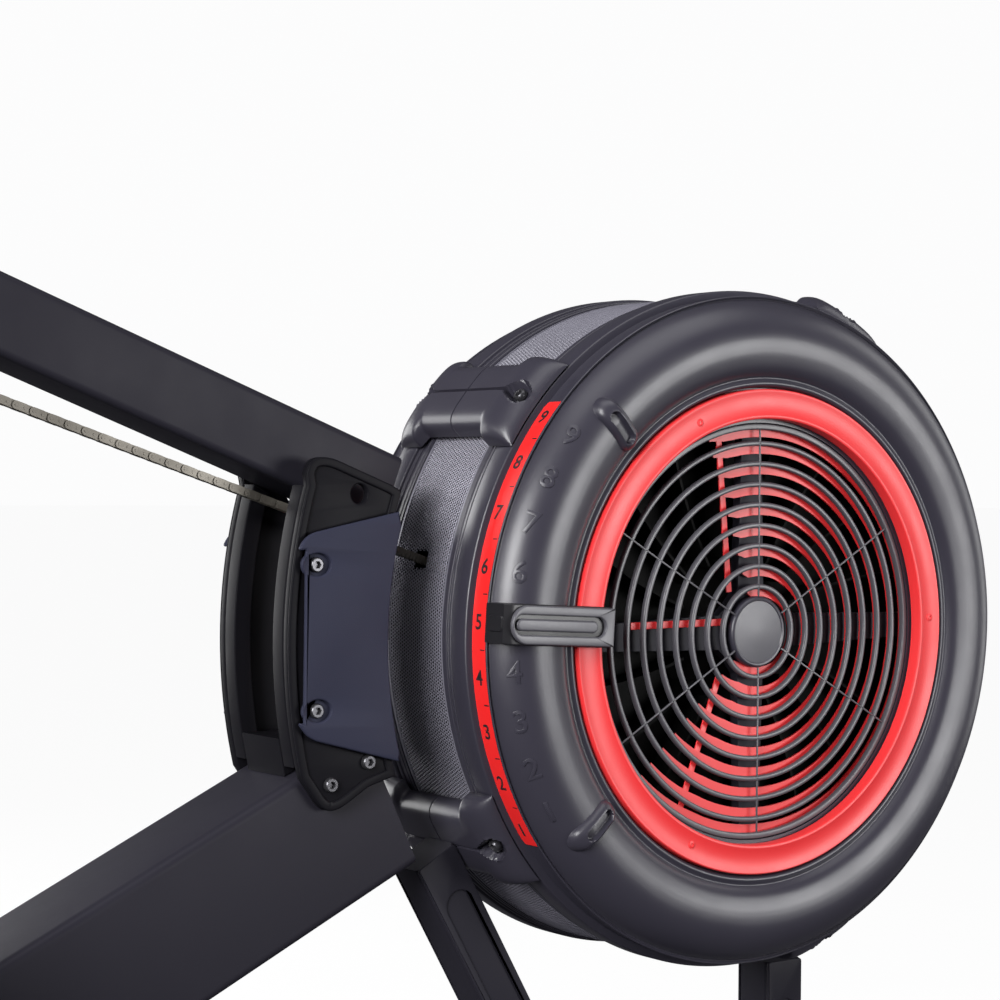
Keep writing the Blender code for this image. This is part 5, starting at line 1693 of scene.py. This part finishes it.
@dataclass
class Handle:
    """The handle: a swept bar with ribbed grips, and the yoke that joins it to the chain."""

    at: float = 0.8000
    half: float = 0.2450
    bend: float = 0.0550
    sweep: float = 0.0180
    grip_from: float = 0.0850
    bar_r: float = 0.0125
    grip_r: float = 0.0165

    def bar_x(self, y: Array) -> Array:
        """How far the bar lies along the chain at y: it sweeps back past its bends."""
        past = np.maximum(np.abs(y) - self.bend, 0) / (self.half - self.bend)
        eased = blended(np.abs(y), self.bend - 0.015, self.bend + 0.015)
        return self.at + self.sweep * past * np.maximum(eased, past > 0.1)

    def path(self, y: Array) -> Array:
        """The bar's middle line."""
        return np.stack([self.bar_x(y), y, 0 * y], -1)

    def bar(self) -> Skin:
        """The bare middle of the bar."""
        y = np.linspace(-self.grip_from - 0.004, self.grip_from + 0.004, 49)
        return swept(self.path(y), circle(self.bar_r, 28), (1, 0, 0))

    def grip(self, side: Side) -> Skin:
        """A rubber grip: a round section whose radius swells, with fine ribs and end flanges."""
        y = np.linspace(self.grip_from, self.half, 221)
        t = (y - self.grip_from) / (self.half - self.grip_from)
        ribs = 0.00045 * (np.sin(2 * np.pi * t * 34) > 0) * (t > 0.07) * (t < 0.93)
        swell = self.grip_r - 0.0016 + 0.0006 * np.sin(np.pi * t)
        flange = 0.0014 * ((t < 0.035) | (t > 0.965))
        ease = np.minimum(np.minimum(t, 1 - t) / 0.012, 1.0) ** 0.5
        radius = (swell - ribs + flange) * (0.86 + 0.14 * ease)
        section = circle(1.0, 32)[None] * radius[:, None, None]
        path = self.path(y) * (1, side.value, 1)
        return swept(path, section, (1, 0, 0))

    def yoke(self) -> Skin:
        """The yoke: a bent plate with a triangular window, and the swivel at its nose."""
        nose, grip = self.at - 0.0700, self.at - self.bar_r - 0.0004
        outer = softened([(nose, -0.0120), (grip, -0.0340), (grip, 0.0340), (nose, 0.0120)],
                         [0.010, 0.006, 0.006, 0.010], 6)
        inner = softened([(nose + 0.0150, -0.0060), (grip - 0.0060, -0.0240),
                          (grip - 0.0060, 0.0240), (nose + 0.0150, 0.0060)], 0.006, 6)
        frame = framed(outer, inner, -0.0055, 0.0055, 0.0018)
        pin = round_pin(0.0045, -0.0068, 0.0068).placed(place((nose + 0.0075, 0, 0)))
        return joined([frame, pin])

    def collars(self) -> Skin:
        """Two clips that hold the yoke to the bar."""
        ring = [(self.bar_r + 0.0001, -0.0050), (self.bar_r + 0.0020, -0.0046),
                (self.bar_r + 0.0020, 0.0046), (self.bar_r + 0.0001, 0.0050)]
        clip = turned(np.array(ring), 40)
        return joined([clip.placed(place((self.at, y, 0))) for y in (-0.0290, 0.0290)])

    def build(self, shop: Workshop, chain: Chain) -> None:
        """Make the handle."""
        frame = chain.frame()
        shop.add("handle_bar_tube", self.bar().placed(frame), PAINT, "handle", ["handle_bar"])
        yoke = joined([self.yoke(), self.collars()]).placed(frame)
        shop.add("handle_yoke_plate", yoke, BRIGHT, "handle", ["handle_yoke"])
        for side in Side:
            word = side.name.lower()
            # The chain's frame looks back along the machine, so its sides are swapped.
            skin = self.grip(Side.LEFT if side is Side.RIGHT else Side.RIGHT).placed(frame)
            shop.add(f"grip_{word}", skin, GRIP, "handle", [f"handle_grip_{word}"])


# --- Rail, seat and footrests -------------------------------------------------------------------
@dataclass
class Rail:
    """The seat's rail, its end cap and the rear leg."""

    top: float = -0.2500
    height: float = 0.0900
    width: float = 0.0550
    front: float = -0.7614
    rear: float = -2.1300
    leg_x: float = -2.0400
    leg_splay: float = 0.0400

    def extrusion(self) -> Skin:
        """The rail's section: two flanges, a web, and a groove along each flange's edge."""
        h, w, t, web = self.height, self.width / 2, 0.0120, 0.0100
        side = [(w, 0.0), (w, -0.0040), (w - 0.0016, -0.0046), (w - 0.0016, -0.0070),
                (w, -0.0076), (w, -t), (web + 0.0030, -t - 0.0050), (web, -t - 0.0100),
                (web, -h + t + 0.0100), (web + 0.0030, -h + t + 0.0050), (w, -h + t),
                (w, -h + 0.0076), (w - 0.0016, -h + 0.0070), (w - 0.0016, -h + 0.0046),
                (w, -h + 0.0040), (w, -h)]
        outline = np.array(side + [(-y, z) for y, z in side[::-1]])
        outline = softened([tuple(p) for p in outline], 0.0006, 2)
        bar = slab(outline, self.rear, self.front, 0.0004).placed(ALONG)
        return bar.placed(place((0, 0, self.top)))

    def end_cap(self) -> Skin:
        """The moulded cap on the rail's rear end, with two screws."""
        shape = rectangle(self.width + 0.0100, self.height + 0.0140, 0.0080,
                          (0, self.top - self.height / 2 + 0.0040))
        cap = slab(shape, self.rear - 0.0162, self.rear - 0.0004, 0.0002, 0.0036).placed(ALONG)
        heads = [screw_head(0.0050, 0.0026).placed(
            place((self.rear - 0.0160, 0, self.top - z), x=(0, 1, 0), z=(-1, 0, 0)))
            for z in (0.0200, 0.0700)]
        return joined([cap, *heads])

    def leg(self) -> Skin:
        """The rear leg: a tapered rounded tube from the rail to its foot."""
        foot, under = -0.6400 + 0.0454, self.top - self.height - 0.0004
        rings = []
        for t in (0.0, 0.01, 0.5, 0.99, 1.0):
            z = foot + (under - foot) * t
            x = self.leg_x - self.leg_splay * (1 - t)
            shape = rectangle(0.0600, 0.0400, 0.0070, (x, 0), 5)
            rings.append(np.column_stack([shape, np.full(len(shape), z)]))
        return loft(np.array(rings))

    def leg_screws(self) -> Skin:
        """Four screws through the leg's top, two on each side."""
        heads = []
        for x in (-0.0220, 0.0220):
            for side in (1, -1):
                heads.append(screw_head(0.0048, 0.0034).placed(
                    place((self.leg_x - 0.012 + x * 0.6, side * 0.0200, -0.3560 + x * 0.9),
                          x=(1, 0, 0), z=(0, side, 0))))
        return joined(heads)

    def build(self, shop: Workshop) -> None:
        """Make the rail, its cap and its leg."""
        shop.add("rail_extrusion", self.extrusion(), RAIL, "frame", ["seat_rail"])
        shop.add("rail_cap", self.end_cap(), TRIM, "frame", ["rail_end_cap"])
        shop.add("rear_leg_tube", self.leg(), PAINT, "frame", ["rear_leg"])
        shop.add("rear_leg_screws", self.leg_screws(), SCREW, "frame")


@dataclass
class Seat:
    """The sliding seat: a moulded foam pad on a carriage with two rollers."""

    x: float = -1.0600
    rail_top: float = -0.2500
    rise: float = 0.0400
    half_wide: float = 0.1580
    half_long: float = 0.1180
    roller_r: float = 0.0135
    roller_spread: float = 0.0550

    def outline(self, turn: Array) -> Array:
        """The pad seen from above: wide, waisted and notched behind."""
        across = self.half_wide * np.sin(turn)
        along = self.half_long * np.cos(turn)
        square = 1 + 0.12 * np.sin(2 * turn) ** 2
        notch = np.where(along < 0, 0.022 * np.exp(-(across / 0.035) ** 2), 0)
        return np.stack([along * square + notch, across * square], -1)

    def dish(self, x: Array, y: Array) -> Array:
        """How far the top dips: two hollows for the rower, with a low ridge between them."""
        hollows = np.exp(-(((np.abs(y) - 0.066) / 0.050) ** 2 + ((x + 0.018) / 0.075) ** 2))
        front = 0.0050 * blended(x, 0.045, 0.118)
        tail = 0.0060 * np.exp(-((y / 0.022) ** 2)) * blended(-x, 0.02, 0.10)
        return 0.0120 * hollows + front + tail

    def pad(self) -> Skin:
        """The pad over a grid of rings and angles.

        Rings run up the side, over a rolled edge and in across the dished top; the underside is
        one flat ring in from the edge.
        """
        turn = np.linspace(0, 2 * np.pi, 144, endpoint=False)
        edge = self.outline(turn)
        side = np.linspace(0, 1, 5)[:-1]
        roll = np.linspace(0, np.pi / 2, 9)
        levels = [(0.90, 0.0), (0.965, 0.0), (0.985, 0.0015)]
        levels += [(0.99 + 0.010 * math.sin(np.pi * s), 0.003 + 0.021 * s) for s in side]
        levels += [(0.99 - 0.105 * (1 - math.cos(a)), 0.024 + 0.0205 * math.sin(a)) for a in roll]
        levels += [(s, 0.0445) for s in np.linspace(0.86, 0.04, 22)]
        rings = []
        for scale, z in levels:
            flat = edge * scale
            dip = self.dish(flat[:, 0], flat[:, 1]) * blended(np.full(len(flat), z), 0.020, 0.044)
            rings.append(np.column_stack([flat, z - dip]))
        base = self.rail_top + self.rise + 0.0004
        return loft(np.array(rings)).placed(place((self.x, 0, base)))

    def piping(self) -> Skin:
        """A raised bead round the pad's side, where its skin meets the base."""
        turn = np.linspace(0, 2 * np.pi, 144, endpoint=False)
        flat = self.outline(turn) * 0.992
        base = self.rail_top + self.rise + 0.0085
        path = np.column_stack([flat + (self.x, 0), np.full(144, base)])
        return swept(path, circle(0.0016, 8), (0, 0, 1), closed=True)

    def carriage(self) -> Skin:
        """The carriage: a folded channel over the rail, with a stiffening ledge under the pad."""
        inside, wall, skirt = 0.0335, 0.0050, 0.0300
        outside = inside + wall
        section = softened([(-outside, -skirt), (-inside, -skirt), (-inside, self.rise - wall),
                            (inside, self.rise - wall), (inside, -skirt), (outside, -skirt),
                            (outside, self.rise), (-outside, self.rise)],
                           [0.001, 0.001, 0.001, 0.001, 0.001, 0.001, 0.005, 0.005], 4)
        body = slab(section, self.x - 0.0900, self.x + 0.0900, 0.0006).placed(ALONG)
        return body.placed(place((0, 0, self.rail_top)))

    def roller_caps(self) -> Skin:
        """Axle nuts and guide buttons on the carriage's sides."""
        heads = []
        for side in (1, -1):
            for x in (-self.roller_spread, self.roller_spread):
                heads.append(screw_head(0.0080, 0.0050).placed(
                    place((self.x + x, side * 0.0384, self.rail_top + self.roller_r + 0.0004),
                          x=(1, 0, 0), z=(0, side, 0))))
            for x in (-0.0700, 0.0000, 0.0700):
                heads.append(screw_head(0.0050, 0.0034).placed(
                    place((self.x + x, side * 0.0384, self.rail_top - 0.0200), x=(1, 0, 0),
                          z=(0, side, 0))))
        return joined(heads)

    def roller(self) -> Skin:
        """A roller: two tyres with a waist between them."""
        r = self.roller_r
        half = [(0.0030, 0.0318), (0.0060, 0.0320), (r - 0.0020, 0.0318), (r, 0.0300), (r, 0.0160),
                (r - 0.0020, 0.0145), (r - 0.0050, 0.0140)]
        profile = np.array(half + [(a, -b) for a, b in half[::-1]])
        return turned(profile, 40)

    def build(self, shop: Workshop) -> None:
        """Make the seat."""
        pad = shop.add("seat_cushion", self.pad(), SEAT, "seat", ["seat_pad"], 60)
        shop.add("seat_bead", self.piping(), TRIM, "seat")
        shop.add("carriage_channel", self.carriage(), PAINT, "seat", ["seat_carriage"])
        shop.add("carriage_nuts", self.roller_caps(), SCREW, "seat")
        for word, side in (("front", 1), ("rear", -1)):
            spot = place((self.x + side * self.roller_spread, 0,
                          self.rail_top + self.roller_r + 0.0004))
            shop.add(f"roller_tyres_{word}", self.roller().placed(spot), ROLLER, f"roller_{word}",
                     [f"seat_roller_{word}"])


@dataclass
class Footrest:
    """A foot plate with its strap, buckle and sliding heel cup, in the plate's own frame."""

    toe: tuple[float, float] = (-0.6680, -0.1380)
    slope: float = 45.0
    length: float = 0.3300
    width: float = 0.1180
    inner: float = 0.0450
    thick: float = 0.0060
    strap_at: float = 0.1100
    strap_wide: float = 0.0420
    strap_rise: float = 0.0920
    heel_at: float = 0.2650
    cup_length: float = 0.1100
    cup_height: float = 0.0550
    cup_wall: float = 0.0040

    def frame(self, side: Side) -> Array:
        """Local X runs down the plate from the toe, local Z out of its face."""
        a = math.radians(self.slope)
        y = side.value * (self.inner + self.width / 2)
        return place((self.toe[0], y, self.toe[1]), x=(-math.cos(a), 0, -math.sin(a)),
                     z=(-math.sin(a), 0, math.cos(a)))

    def plate(self) -> Skin:
        """The plate: a rounded sheet with a row of slots for the heel cup and low cross ribs."""
        outline = rectangle(self.length, self.width, 0.0180, (self.length / 2, 0), 7)
        slots = []
        for side in (1, -1):
            for k in range(4):
                slots.append(stadium(0.0140, 0.0050, 20) + (0.0250 + 0.0200 * k, side * 0.0400))
        slots.append(stadium(0.0900, 0.0070, 36) + (self.heel_at - 0.150, 0))
        sheet = sheet_skin([outline, *slots], -self.thick, 0.0, 0.0012)
        rib = slab(rectangle(0.0040, self.width - 0.0300, 0.0019), -0.0004, 0.0012, 0.0008, 0.0)
        ribs = repeated(rib, np.array([place((x, 0, 0)) for x in
                                       np.concatenate([np.arange(0.012, 0.026, 0.012),
                                                       np.arange(0.128, 0.146, 0.012)])]))
        lip = swept(self.lip_path(), rectangle(0.0030, 0.0050, 0.0012), (0, 0, 1))
        return joined([sheet, ribs, lip])

    def lip_path(self) -> Array:
        """The line of the raised lip round the plate's toe end."""
        half, back = self.width / 2 - 0.0030, 0.0900
        points = [(back, -half, 0.0010), (0.0300, -half, 0.0018), (0.0090, -half + 0.0110, 0.0020),
                  (0.0032, -half + 0.0320, 0.0020), (0.0032, half - 0.0320, 0.0020),
                  (0.0090, half - 0.0110, 0.0020), (0.0300, half, 0.0018), (back, half, 0.0010)]
        return smooth_path(points, 64)

    def strap_line(self, count: int = 61, grow: float = 0.0) -> Array:
        """The strap's arch across the foot, as (across, up), its ends at the plate."""
        turn = np.linspace(0, np.pi, count)
        half = self.width / 2 - 0.0050 + grow
        up = (self.strap_rise - 0.0020 + grow) * np.sin(turn) ** 0.8
        return np.stack([half * np.cos(turn), up + 0.0006], -1)

    def strap(self) -> Skin:
        """The webbing: a thin band whose edges thicken slightly, carried over the arch."""
        line = self.strap_line()
        path = np.column_stack([np.full(len(line), self.strap_at), line])
        half = self.strap_wide / 2
        across = np.linspace(-half, half, 13)
        thick = 0.0008 + 0.0004 * (np.abs(across) > 0.86 * half)
        section = np.vstack([np.column_stack([across, thick]),
                             np.column_stack([across[::-1], -thick])])
        return swept(path, section, (1, 0, 0))

    def stitches(self) -> Skin:
        """Two rows of stitches beside the strap's edges."""
        line = self.strap_line(101, 0.0012)[6:-6:2]
        up = np.gradient(line, axis=0)
        stitch = slab(stadium(0.0030, 0.0007, 8), 0.0, 0.0005, 0.0, 0.0)
        places = []
        for (y, z), (dy, dz) in zip(line, up):
            for x in (-0.0160, 0.0160):
                places.append(place((self.strap_at + x, y, z), x=(0, dy, dz),
                                    z=np.cross((0, dy, dz), (-1, 0, 0))))
        return repeated(stitch, np.array(places))

    def buckle(self) -> Skin:
        """A flat buckle on the outside of the arch."""
        frame = framed(rectangle(0.0500, 0.0300, 0.0050), rectangle(0.0430, 0.0190, 0.0030),
                       0.0, 0.0030, 0.0008)
        bar = slab(rectangle(0.0430, 0.0044, 0.0012), 0.0004, 0.0036, 0.0012)
        line = self.strap_line(61, 0.0016)
        y, z = line[16]
        dy, dz = line[17] - line[15]
        spot = place((self.strap_at, y, z), x=(1, 0, 0), z=np.cross((0, dy, dz), (-1, 0, 0)))
        return joined([frame, bar]).placed(spot)

    def cup(self) -> Skin:
        """The heel cup: a wall round the heel that leans out, over a floor.

        The wall is a loft of U-shaped sections whose reach grows with height.
        """
        half = self.width / 2 - 0.0120
        turn = np.linspace(-np.pi / 2, np.pi / 2, 33)
        centre = self.cup_length / 2 - half
        front = -self.cup_length / 2

        def wall_line(reach: float, start: float) -> Array:
            """A U: two straight sides and a half circle behind."""
            bow = np.stack([centre + reach * np.cos(turn), reach * np.sin(turn)], -1)
            return np.vstack([[(start, -reach)], bow, [(start, reach)]])

        rings = []
        for t in np.linspace(0, 1, 9):
            z = 0.0006 + self.cup_height * t
            sweep_back = 0.0400 * max(t - 0.35, 0) ** 1.3
            outside = wall_line(half - 0.0012 + 0.0012 * t, front + sweep_back)
            inside = wall_line(half - self.cup_wall, front + sweep_back)[::-1]
            shape = np.vstack([outside, inside])
            rings.append(np.column_stack([shape, np.full(len(shape), z)]))
        rim = rings[-1].copy()
        wall = loft(np.array([*rings, rim + (0, 0, 0.0004)]))
        floor = slab(rectangle(self.cup_length * 0.66, self.width - 0.0300, 0.0040,
                               (-self.cup_length * 0.17, 0)), 0.0006, self.cup_wall, 0.0010, 0.0)
        groove = slab(rectangle(0.0030, self.width - 0.0500, 0.0012), self.cup_wall - 0.0002,
                      self.cup_wall + 0.0010, 0.0006, 0.0)
        places = [place((x, 0, 0)) for x in np.arange(-0.046, 0.014, 0.010)]
        ribs = repeated(groove, np.array(places))
        return joined([wall, floor, ribs]).placed(place((self.heel_at, 0, 0)))

    def build(self, shop: Workshop) -> None:
        """Make both footrests and dress their bracket."""
        for side in Side:
            word, frame = side.name.lower(), self.frame(side)
            shop.add(f"footrest_{word}", self.plate().placed(frame), TRIM, "frame",
                     [f"foot_plate_{word}"])
            shop.add(f"strap_{word}", self.strap().placed(frame), WEBBING, "frame",
                     [f"foot_strap_{word}"])
            shop.add(f"strap_stitches_{word}", self.stitches().placed(frame), WEBBING, "frame")
            shop.add(f"strap_buckle_{word}", self.buckle().placed(frame), TRIM, "frame")
            shop.add(f"cup_{word}", self.cup().placed(frame), TRIM, f"heel_{word}",
                     [f"heel_cup_{word}"])
        shop.dress(PAINT, "footrest_bracket")


# --- Console ------------------------------------------------------------------------------------
@dataclass
class Console:
    """The console on the arm's end, in its own tilted frame."""

    pivot: tuple[float, float] = (-0.88184, 0.41338)
    tilt: float = 25.0
    width: float = 0.1500
    thick: float = 0.0420
    tall: float = 0.1780
    rise: float = 0.1230

    def frame(self) -> Array:
        """Local X faces the rower and local Z is up the face."""
        a = math.radians(self.tilt)
        return place((self.pivot[0], 0, self.pivot[1]), x=(-math.cos(a), 0, math.sin(a)),
                     z=(math.sin(a), 0, math.cos(a)))

    def shell(self) -> Skin:
        """The case: a rounded back, and a front with a window for the screen."""
        half = self.thick / 2
        shape = rectangle(self.width, self.tall, 0.0170, (0, self.rise), 8)
        window = rectangle(self.width - 0.0380, self.tall * 0.56 - 0.0020, 0.0060,
                           (0, self.rise + self.tall * 0.13), 8)
        back = slab(shape, -half, half - 0.0052, 0.0004, 0.0090)
        front = framed(shape, window, half - 0.0052, half, 0.0022)
        return joined([back, front]).placed(ALONG)

    def knuckle(self) -> Skin:
        """The neck under the case, between the bracket's ears."""
        outline = softened([(-0.0100, -0.0100), (0.0100, -0.0100), (0.0110, 0.0340),
                            (0.0170, 0.0440), (-0.0190, 0.0440), (-0.0110, 0.0340)],
                           [0.009, 0.009, 0.006, 0.001, 0.001, 0.006], 6)
        return slab(outline, -0.0220, 0.0220, 0.0024).placed(UPRIGHT)

    def back_vents(self) -> Skin:
        """Eight low fins across the back."""
        fin = slab(stadium(0.0700, 0.0030, 20), 0.0, 0.0012, 0.0007, 0.0)
        places = np.array([place((-self.thick / 2, 0, self.rise - 0.0280 + 0.0080 * k),
                                 x=(0, 1, 0), z=(-1, 0, 0)) for k in range(8)])
        return repeated(fin, places)

    def screen(self) -> Skin:
        """The window over the display, a hair below the frame."""
        half = self.thick / 2
        pane = rectangle(self.width - 0.0384, self.tall * 0.56 - 0.0024, 0.0056,
                         (0, self.rise + self.tall * 0.13), 8)
        return slab(pane, half - 0.0050, half - 0.0016, 0.0006).placed(ALONG)

    def display(self) -> Skin:
        """Seven-bar figures, all zeros and blanks, and a row of bars under them."""
        half = self.thick / 2 - 0.0016
        bars: list[Skin] = []
        across = slab(stadium(0.0088, 0.0016, 10), 0.0, 0.0001, 0.0, 0.0)
        for column in range(4):
            y = -0.0330 + 0.0220 * column
            for u, v, upright in ((0, 0.0094, 0), (0, -0.0094, 0), (0.0050, 0.0047, 1),
                                  (-0.0050, 0.0047, 1), (0.0050, -0.0047, 1),
                                  (-0.0050, -0.0047, 1)):
                run = (0, 0, 1) if upright else (0, 1, 0)
                bars.append(across.placed(place((half, y + u, self.rise + 0.0500 + v), x=run,
                                                z=(1, 0, 0))))
        block = slab(rectangle(0.0044, 0.0100, 0.0004), 0.0, 0.0001, 0.0, 0.0)
        for k in range(14):
            tall = 0.5 + 0.5 * abs(math.sin(0.9 * k))
            spot = place((half, -0.0430 + 0.0066 * k, self.rise + 0.0050), x=(0, 1, 0),
                         z=(1, 0, 0))
            spot[:3, 1] *= -tall if spot[2, 1] < 0 else tall
            bars.append(block.placed(spot))
        return joined(bars)

    def button(self, y: float) -> Skin:
        """A round key with a dished top."""
        rings = np.array([np.column_stack([circle(r, 40), np.full(40, x)])
                          for r, x in ((0.0088, -0.0020), (0.0088, 0.0018), (0.0082, 0.0027),
                                       (0.0072, 0.0030), (0.0050, 0.0024), (0.0010, 0.0021))])
        spot = place((self.thick / 2, y, self.rise - self.tall * 0.31), x=(0, 1, 0), z=(1, 0, 0))
        return loft(rings).placed(spot)

    def bracket(self) -> Skin:
        """The bracket on the arm: a base and two rounded ears, with the pivot's bolt."""
        ear = softened([(-0.0220, -0.0480), (0.0220, -0.0480), (0.0130, 0.0080), (0.0, 0.0150),
                        (-0.0130, 0.0080)], [0.002, 0.002, 0.010, 0.008, 0.010], 6)
        ears = [slab(ear, side * 0.0270 - 0.0030, side * 0.0270 + 0.0030, 0.0010).placed(UPRIGHT)
                for side in (1, -1)]
        base = slab(rectangle(0.0440, 0.0066, 0.0010, (0, -0.0463)), -0.0300, 0.0300,
                    0.0008).placed(UPRIGHT)
        return joined([*ears, base])

    def build(self, shop: Workshop) -> None:
        """Make the console."""
        frame = self.frame()
        case = joined([self.shell(), self.knuckle(), self.back_vents()]).placed(frame)
        shop.add("console_case", case, TRIM, "console", ["console_housing"], 40)
        shop.add("console_pane", self.screen().placed(frame), GLASS, "console",
                 ["console_screen"])
        shop.add("console_figures", self.display().placed(frame), INK, "console")
        for number, y in enumerate((-0.0300, 0.0300), 1):
            shop.add(f"console_key_{number}", self.button(y).placed(frame), BUTTON,
                     f"button_{number}", [f"console_button_{number}"])
        arm = ARM.place()
        along = place((0, 0, 0))
        along[:3, :3] = arm[:3, :3]
        along[:3, 3] = (self.pivot[0], 0, self.pivot[1])
        shop.add("console_ears", self.bracket().placed(along), TRIM, "frame",
                 ["console_bracket"])
        bolts = [screw_head(0.0080, 0.0046).placed(
            place((self.pivot[0], s * 0.0300, self.pivot[1]), x=(1, 0, 0), z=(0, s, 0)))
            for s in (1, -1)]
        shop.add("console_pivot_bolts", joined(bolts), SCREW, "frame")


# --- Studio -------------------------------------------------------------------------------------
@dataclass
class Studio:
    """The camera, the lights and the pale floor."""

    azimuth: float = -36.02
    elevation: float = 3.37
    roll: float = 0.14
    lens: float = 85.86
    shift_y: float = 0.117
    eye: tuple[float, float, float] = (-1.19857, -1.40864, 0.11507)    # from the fan's axis

    def camera(self, home: Array) -> None:
        """Set the camera: its axes come from azimuth, elevation and roll."""
        a, e, r = (math.radians(v) for v in (self.azimuth, self.elevation, self.roll))
        back = np.array([math.sin(a) * math.cos(e), -math.cos(a) * math.cos(e), math.sin(e)])
        level = np.array([math.cos(a), math.sin(a), 0.0])
        rise = np.cross(back, level)
        right = level * math.cos(r) + rise * math.sin(r)
        up = rise * math.cos(r) - level * math.sin(r)
        data = bpy.data.cameras.new("camera")
        data.lens, data.sensor_width, data.shift_y = self.lens, 36.0, self.shift_y
        data.clip_end = 200.0
        camera = bpy.data.objects.new("camera", data)
        matrix = np.eye(4)
        matrix[:3, 0], matrix[:3, 1], matrix[:3, 2] = right, up, back
        matrix[:3, 3] = home[:3, 3] + self.eye
        camera.matrix_world = Matrix(matrix.tolist())
        bpy.context.scene.collection.objects.link(camera)
        bpy.context.scene.camera = camera

    def light(self, name: str, spot: Sequence[float], aim: Sequence[float],
              size: tuple[float, float], power: float) -> None:
        """One soft box: a rectangle of light at a spot, aimed at a point."""
        data = bpy.data.lights.new(name, "AREA")
        data.shape, data.size, data.size_y, data.energy = "RECTANGLE", *size, power
        lamp = bpy.data.objects.new(name, data)
        back = np.array(spot, float) - np.array(aim, float)
        back /= np.linalg.norm(back)
        side = np.cross((0, 0, 1), back)
        matrix = place(spot, x=side, z=back)
        lamp.matrix_world = Matrix(matrix.tolist())
        bpy.context.scene.collection.objects.link(lamp)

    def floor(self) -> None:
        """A wide pale floor that fades into the white room."""
        turn = np.linspace(0, 2 * np.pi, 64, endpoint=False)
        rings = [np.column_stack([r * np.cos(turn), r * np.sin(turn), np.zeros(64)])
                 for r in (0.01, 4.0, 60.0)]
        points = np.vstack(rings)
        ids = np.arange(192).reshape(3, 64)
        after = np.roll(ids, -1, axis=1)
        quads = np.stack([ids[:-1], ids[1:], after[1:], after[:-1]], -1).reshape(-1, 4)
        mesh = bpy.data.meshes.new("floor")
        mesh.from_pydata(points.tolist(), [], quads.tolist() + [ids[0].tolist()])
        floor = bpy.data.objects.new("floor", mesh)
        bpy.context.scene.collection.objects.link(floor)
        material = bpy.data.materials.new("floor_paper")
        nodes = Nodes(material)
        inputs = nodes.shader.inputs
        tone = nodes.ramped(nodes.noise(3.0, 2.0), 0.0, 1.0)
        base = nodes.mixed(tone, (0.050, 0.050, 0.050), (0.055, 0.055, 0.055))
        nodes.link(base, inputs["Base Color"])
        inputs["Roughness"].default_value = 0.9
        inputs["Specular IOR Level"].default_value = 0.1
        inputs["Emission Color"].default_value = (1, 1, 1, 1)
        inputs["Emission Strength"].default_value = 0.95
        mesh.materials.append(material)
        floor.visible_diffuse = floor.visible_glossy = False

    def room(self) -> None:
        """The white room: bright to the camera, dimmer as a light."""
        world = bpy.data.worlds.new("room")
        bpy.context.scene.world = world
        world.use_nodes = True
        tree = world.node_tree
        tree.nodes.clear()
        output = tree.nodes.new("ShaderNodeOutputWorld")
        mix = tree.nodes.new("ShaderNodeMixShader")
        path = tree.nodes.new("ShaderNodeLightPath")
        seen, lit = tree.nodes.new("ShaderNodeBackground"), tree.nodes.new("ShaderNodeBackground")
        seen.inputs["Color"].default_value = (0.975, 0.975, 0.977, 1)
        lit.inputs["Color"].default_value = (0.90, 0.88, 1.0, 1)
        lit.inputs["Strength"].default_value = 0.085
        tree.links.new(path.outputs["Is Camera Ray"], mix.inputs["Fac"])
        tree.links.new(lit.outputs[0], mix.inputs[1])
        tree.links.new(seen.outputs[0], mix.inputs[2])
        tree.links.new(mix.outputs[0], output.inputs["Surface"])

    def build(self, home: Array) -> None:
        """Set up the whole studio."""
        fan = home[:3, 3]
        self.camera(home)
        self.light("front", fan + (1.60, -2.6, 0.15), fan, (1.7, 0.8), 58)
        self.light("left", fan + (-2.6, -1.3, 0.9), fan, (1.1, 1.6), 120)
        self.light("right", fan + (2.3, -0.2, 0.5), fan, (0.9, 2.2), 12)
        self.light("top", fan + (0.0, -0.8, 2.3), fan, (2.6, 1.6), 26)
        self.light("behind", fan + (-1.4, 3.0, 0.5), fan + (-0.6, 0, -0.2), (2.6, 1.8), 70)
        self.light("seat end", fan + (-4.2, 0.6, 1.2), fan + (-1.4, 0, -0.2), (1.6, 1.4), 40)
        self.floor()
        self.room()
        scene = bpy.context.scene
        scene.view_settings.view_transform = "Standard"
        scene.view_settings.look = "None"
        scene.view_settings.exposure = 0.0


def main() -> None:
    """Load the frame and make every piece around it."""
    logging.basicConfig(level=logging.INFO, format="%(name)s: %(message)s")
    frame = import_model()
    low, high = (np.array(corner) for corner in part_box("fan_grille"))
    axis = (low + high) / 2
    home = place((axis[0], 0.0, axis[2]))
    studio = Studio()
    studio.build(home)
    shop = Workshop(home)
    chain = Chain()
    chain.build(shop)
    for part in (Casing(), Dial(), Grille(), Fan(), Neck(), Framework(), TransportWheels(), Rail(),
                 Seat(), Footrest(), Console()):
        part.build(shop)
    Handle().build(shop, chain)
    shop.dress(TRIM, "handle_hook", "return_pulley")
    shop.dress(CORD, "return_cord")
    LOG.info("%d pieces made", len(shop.made))


if __name__ == "__main__":
    main()
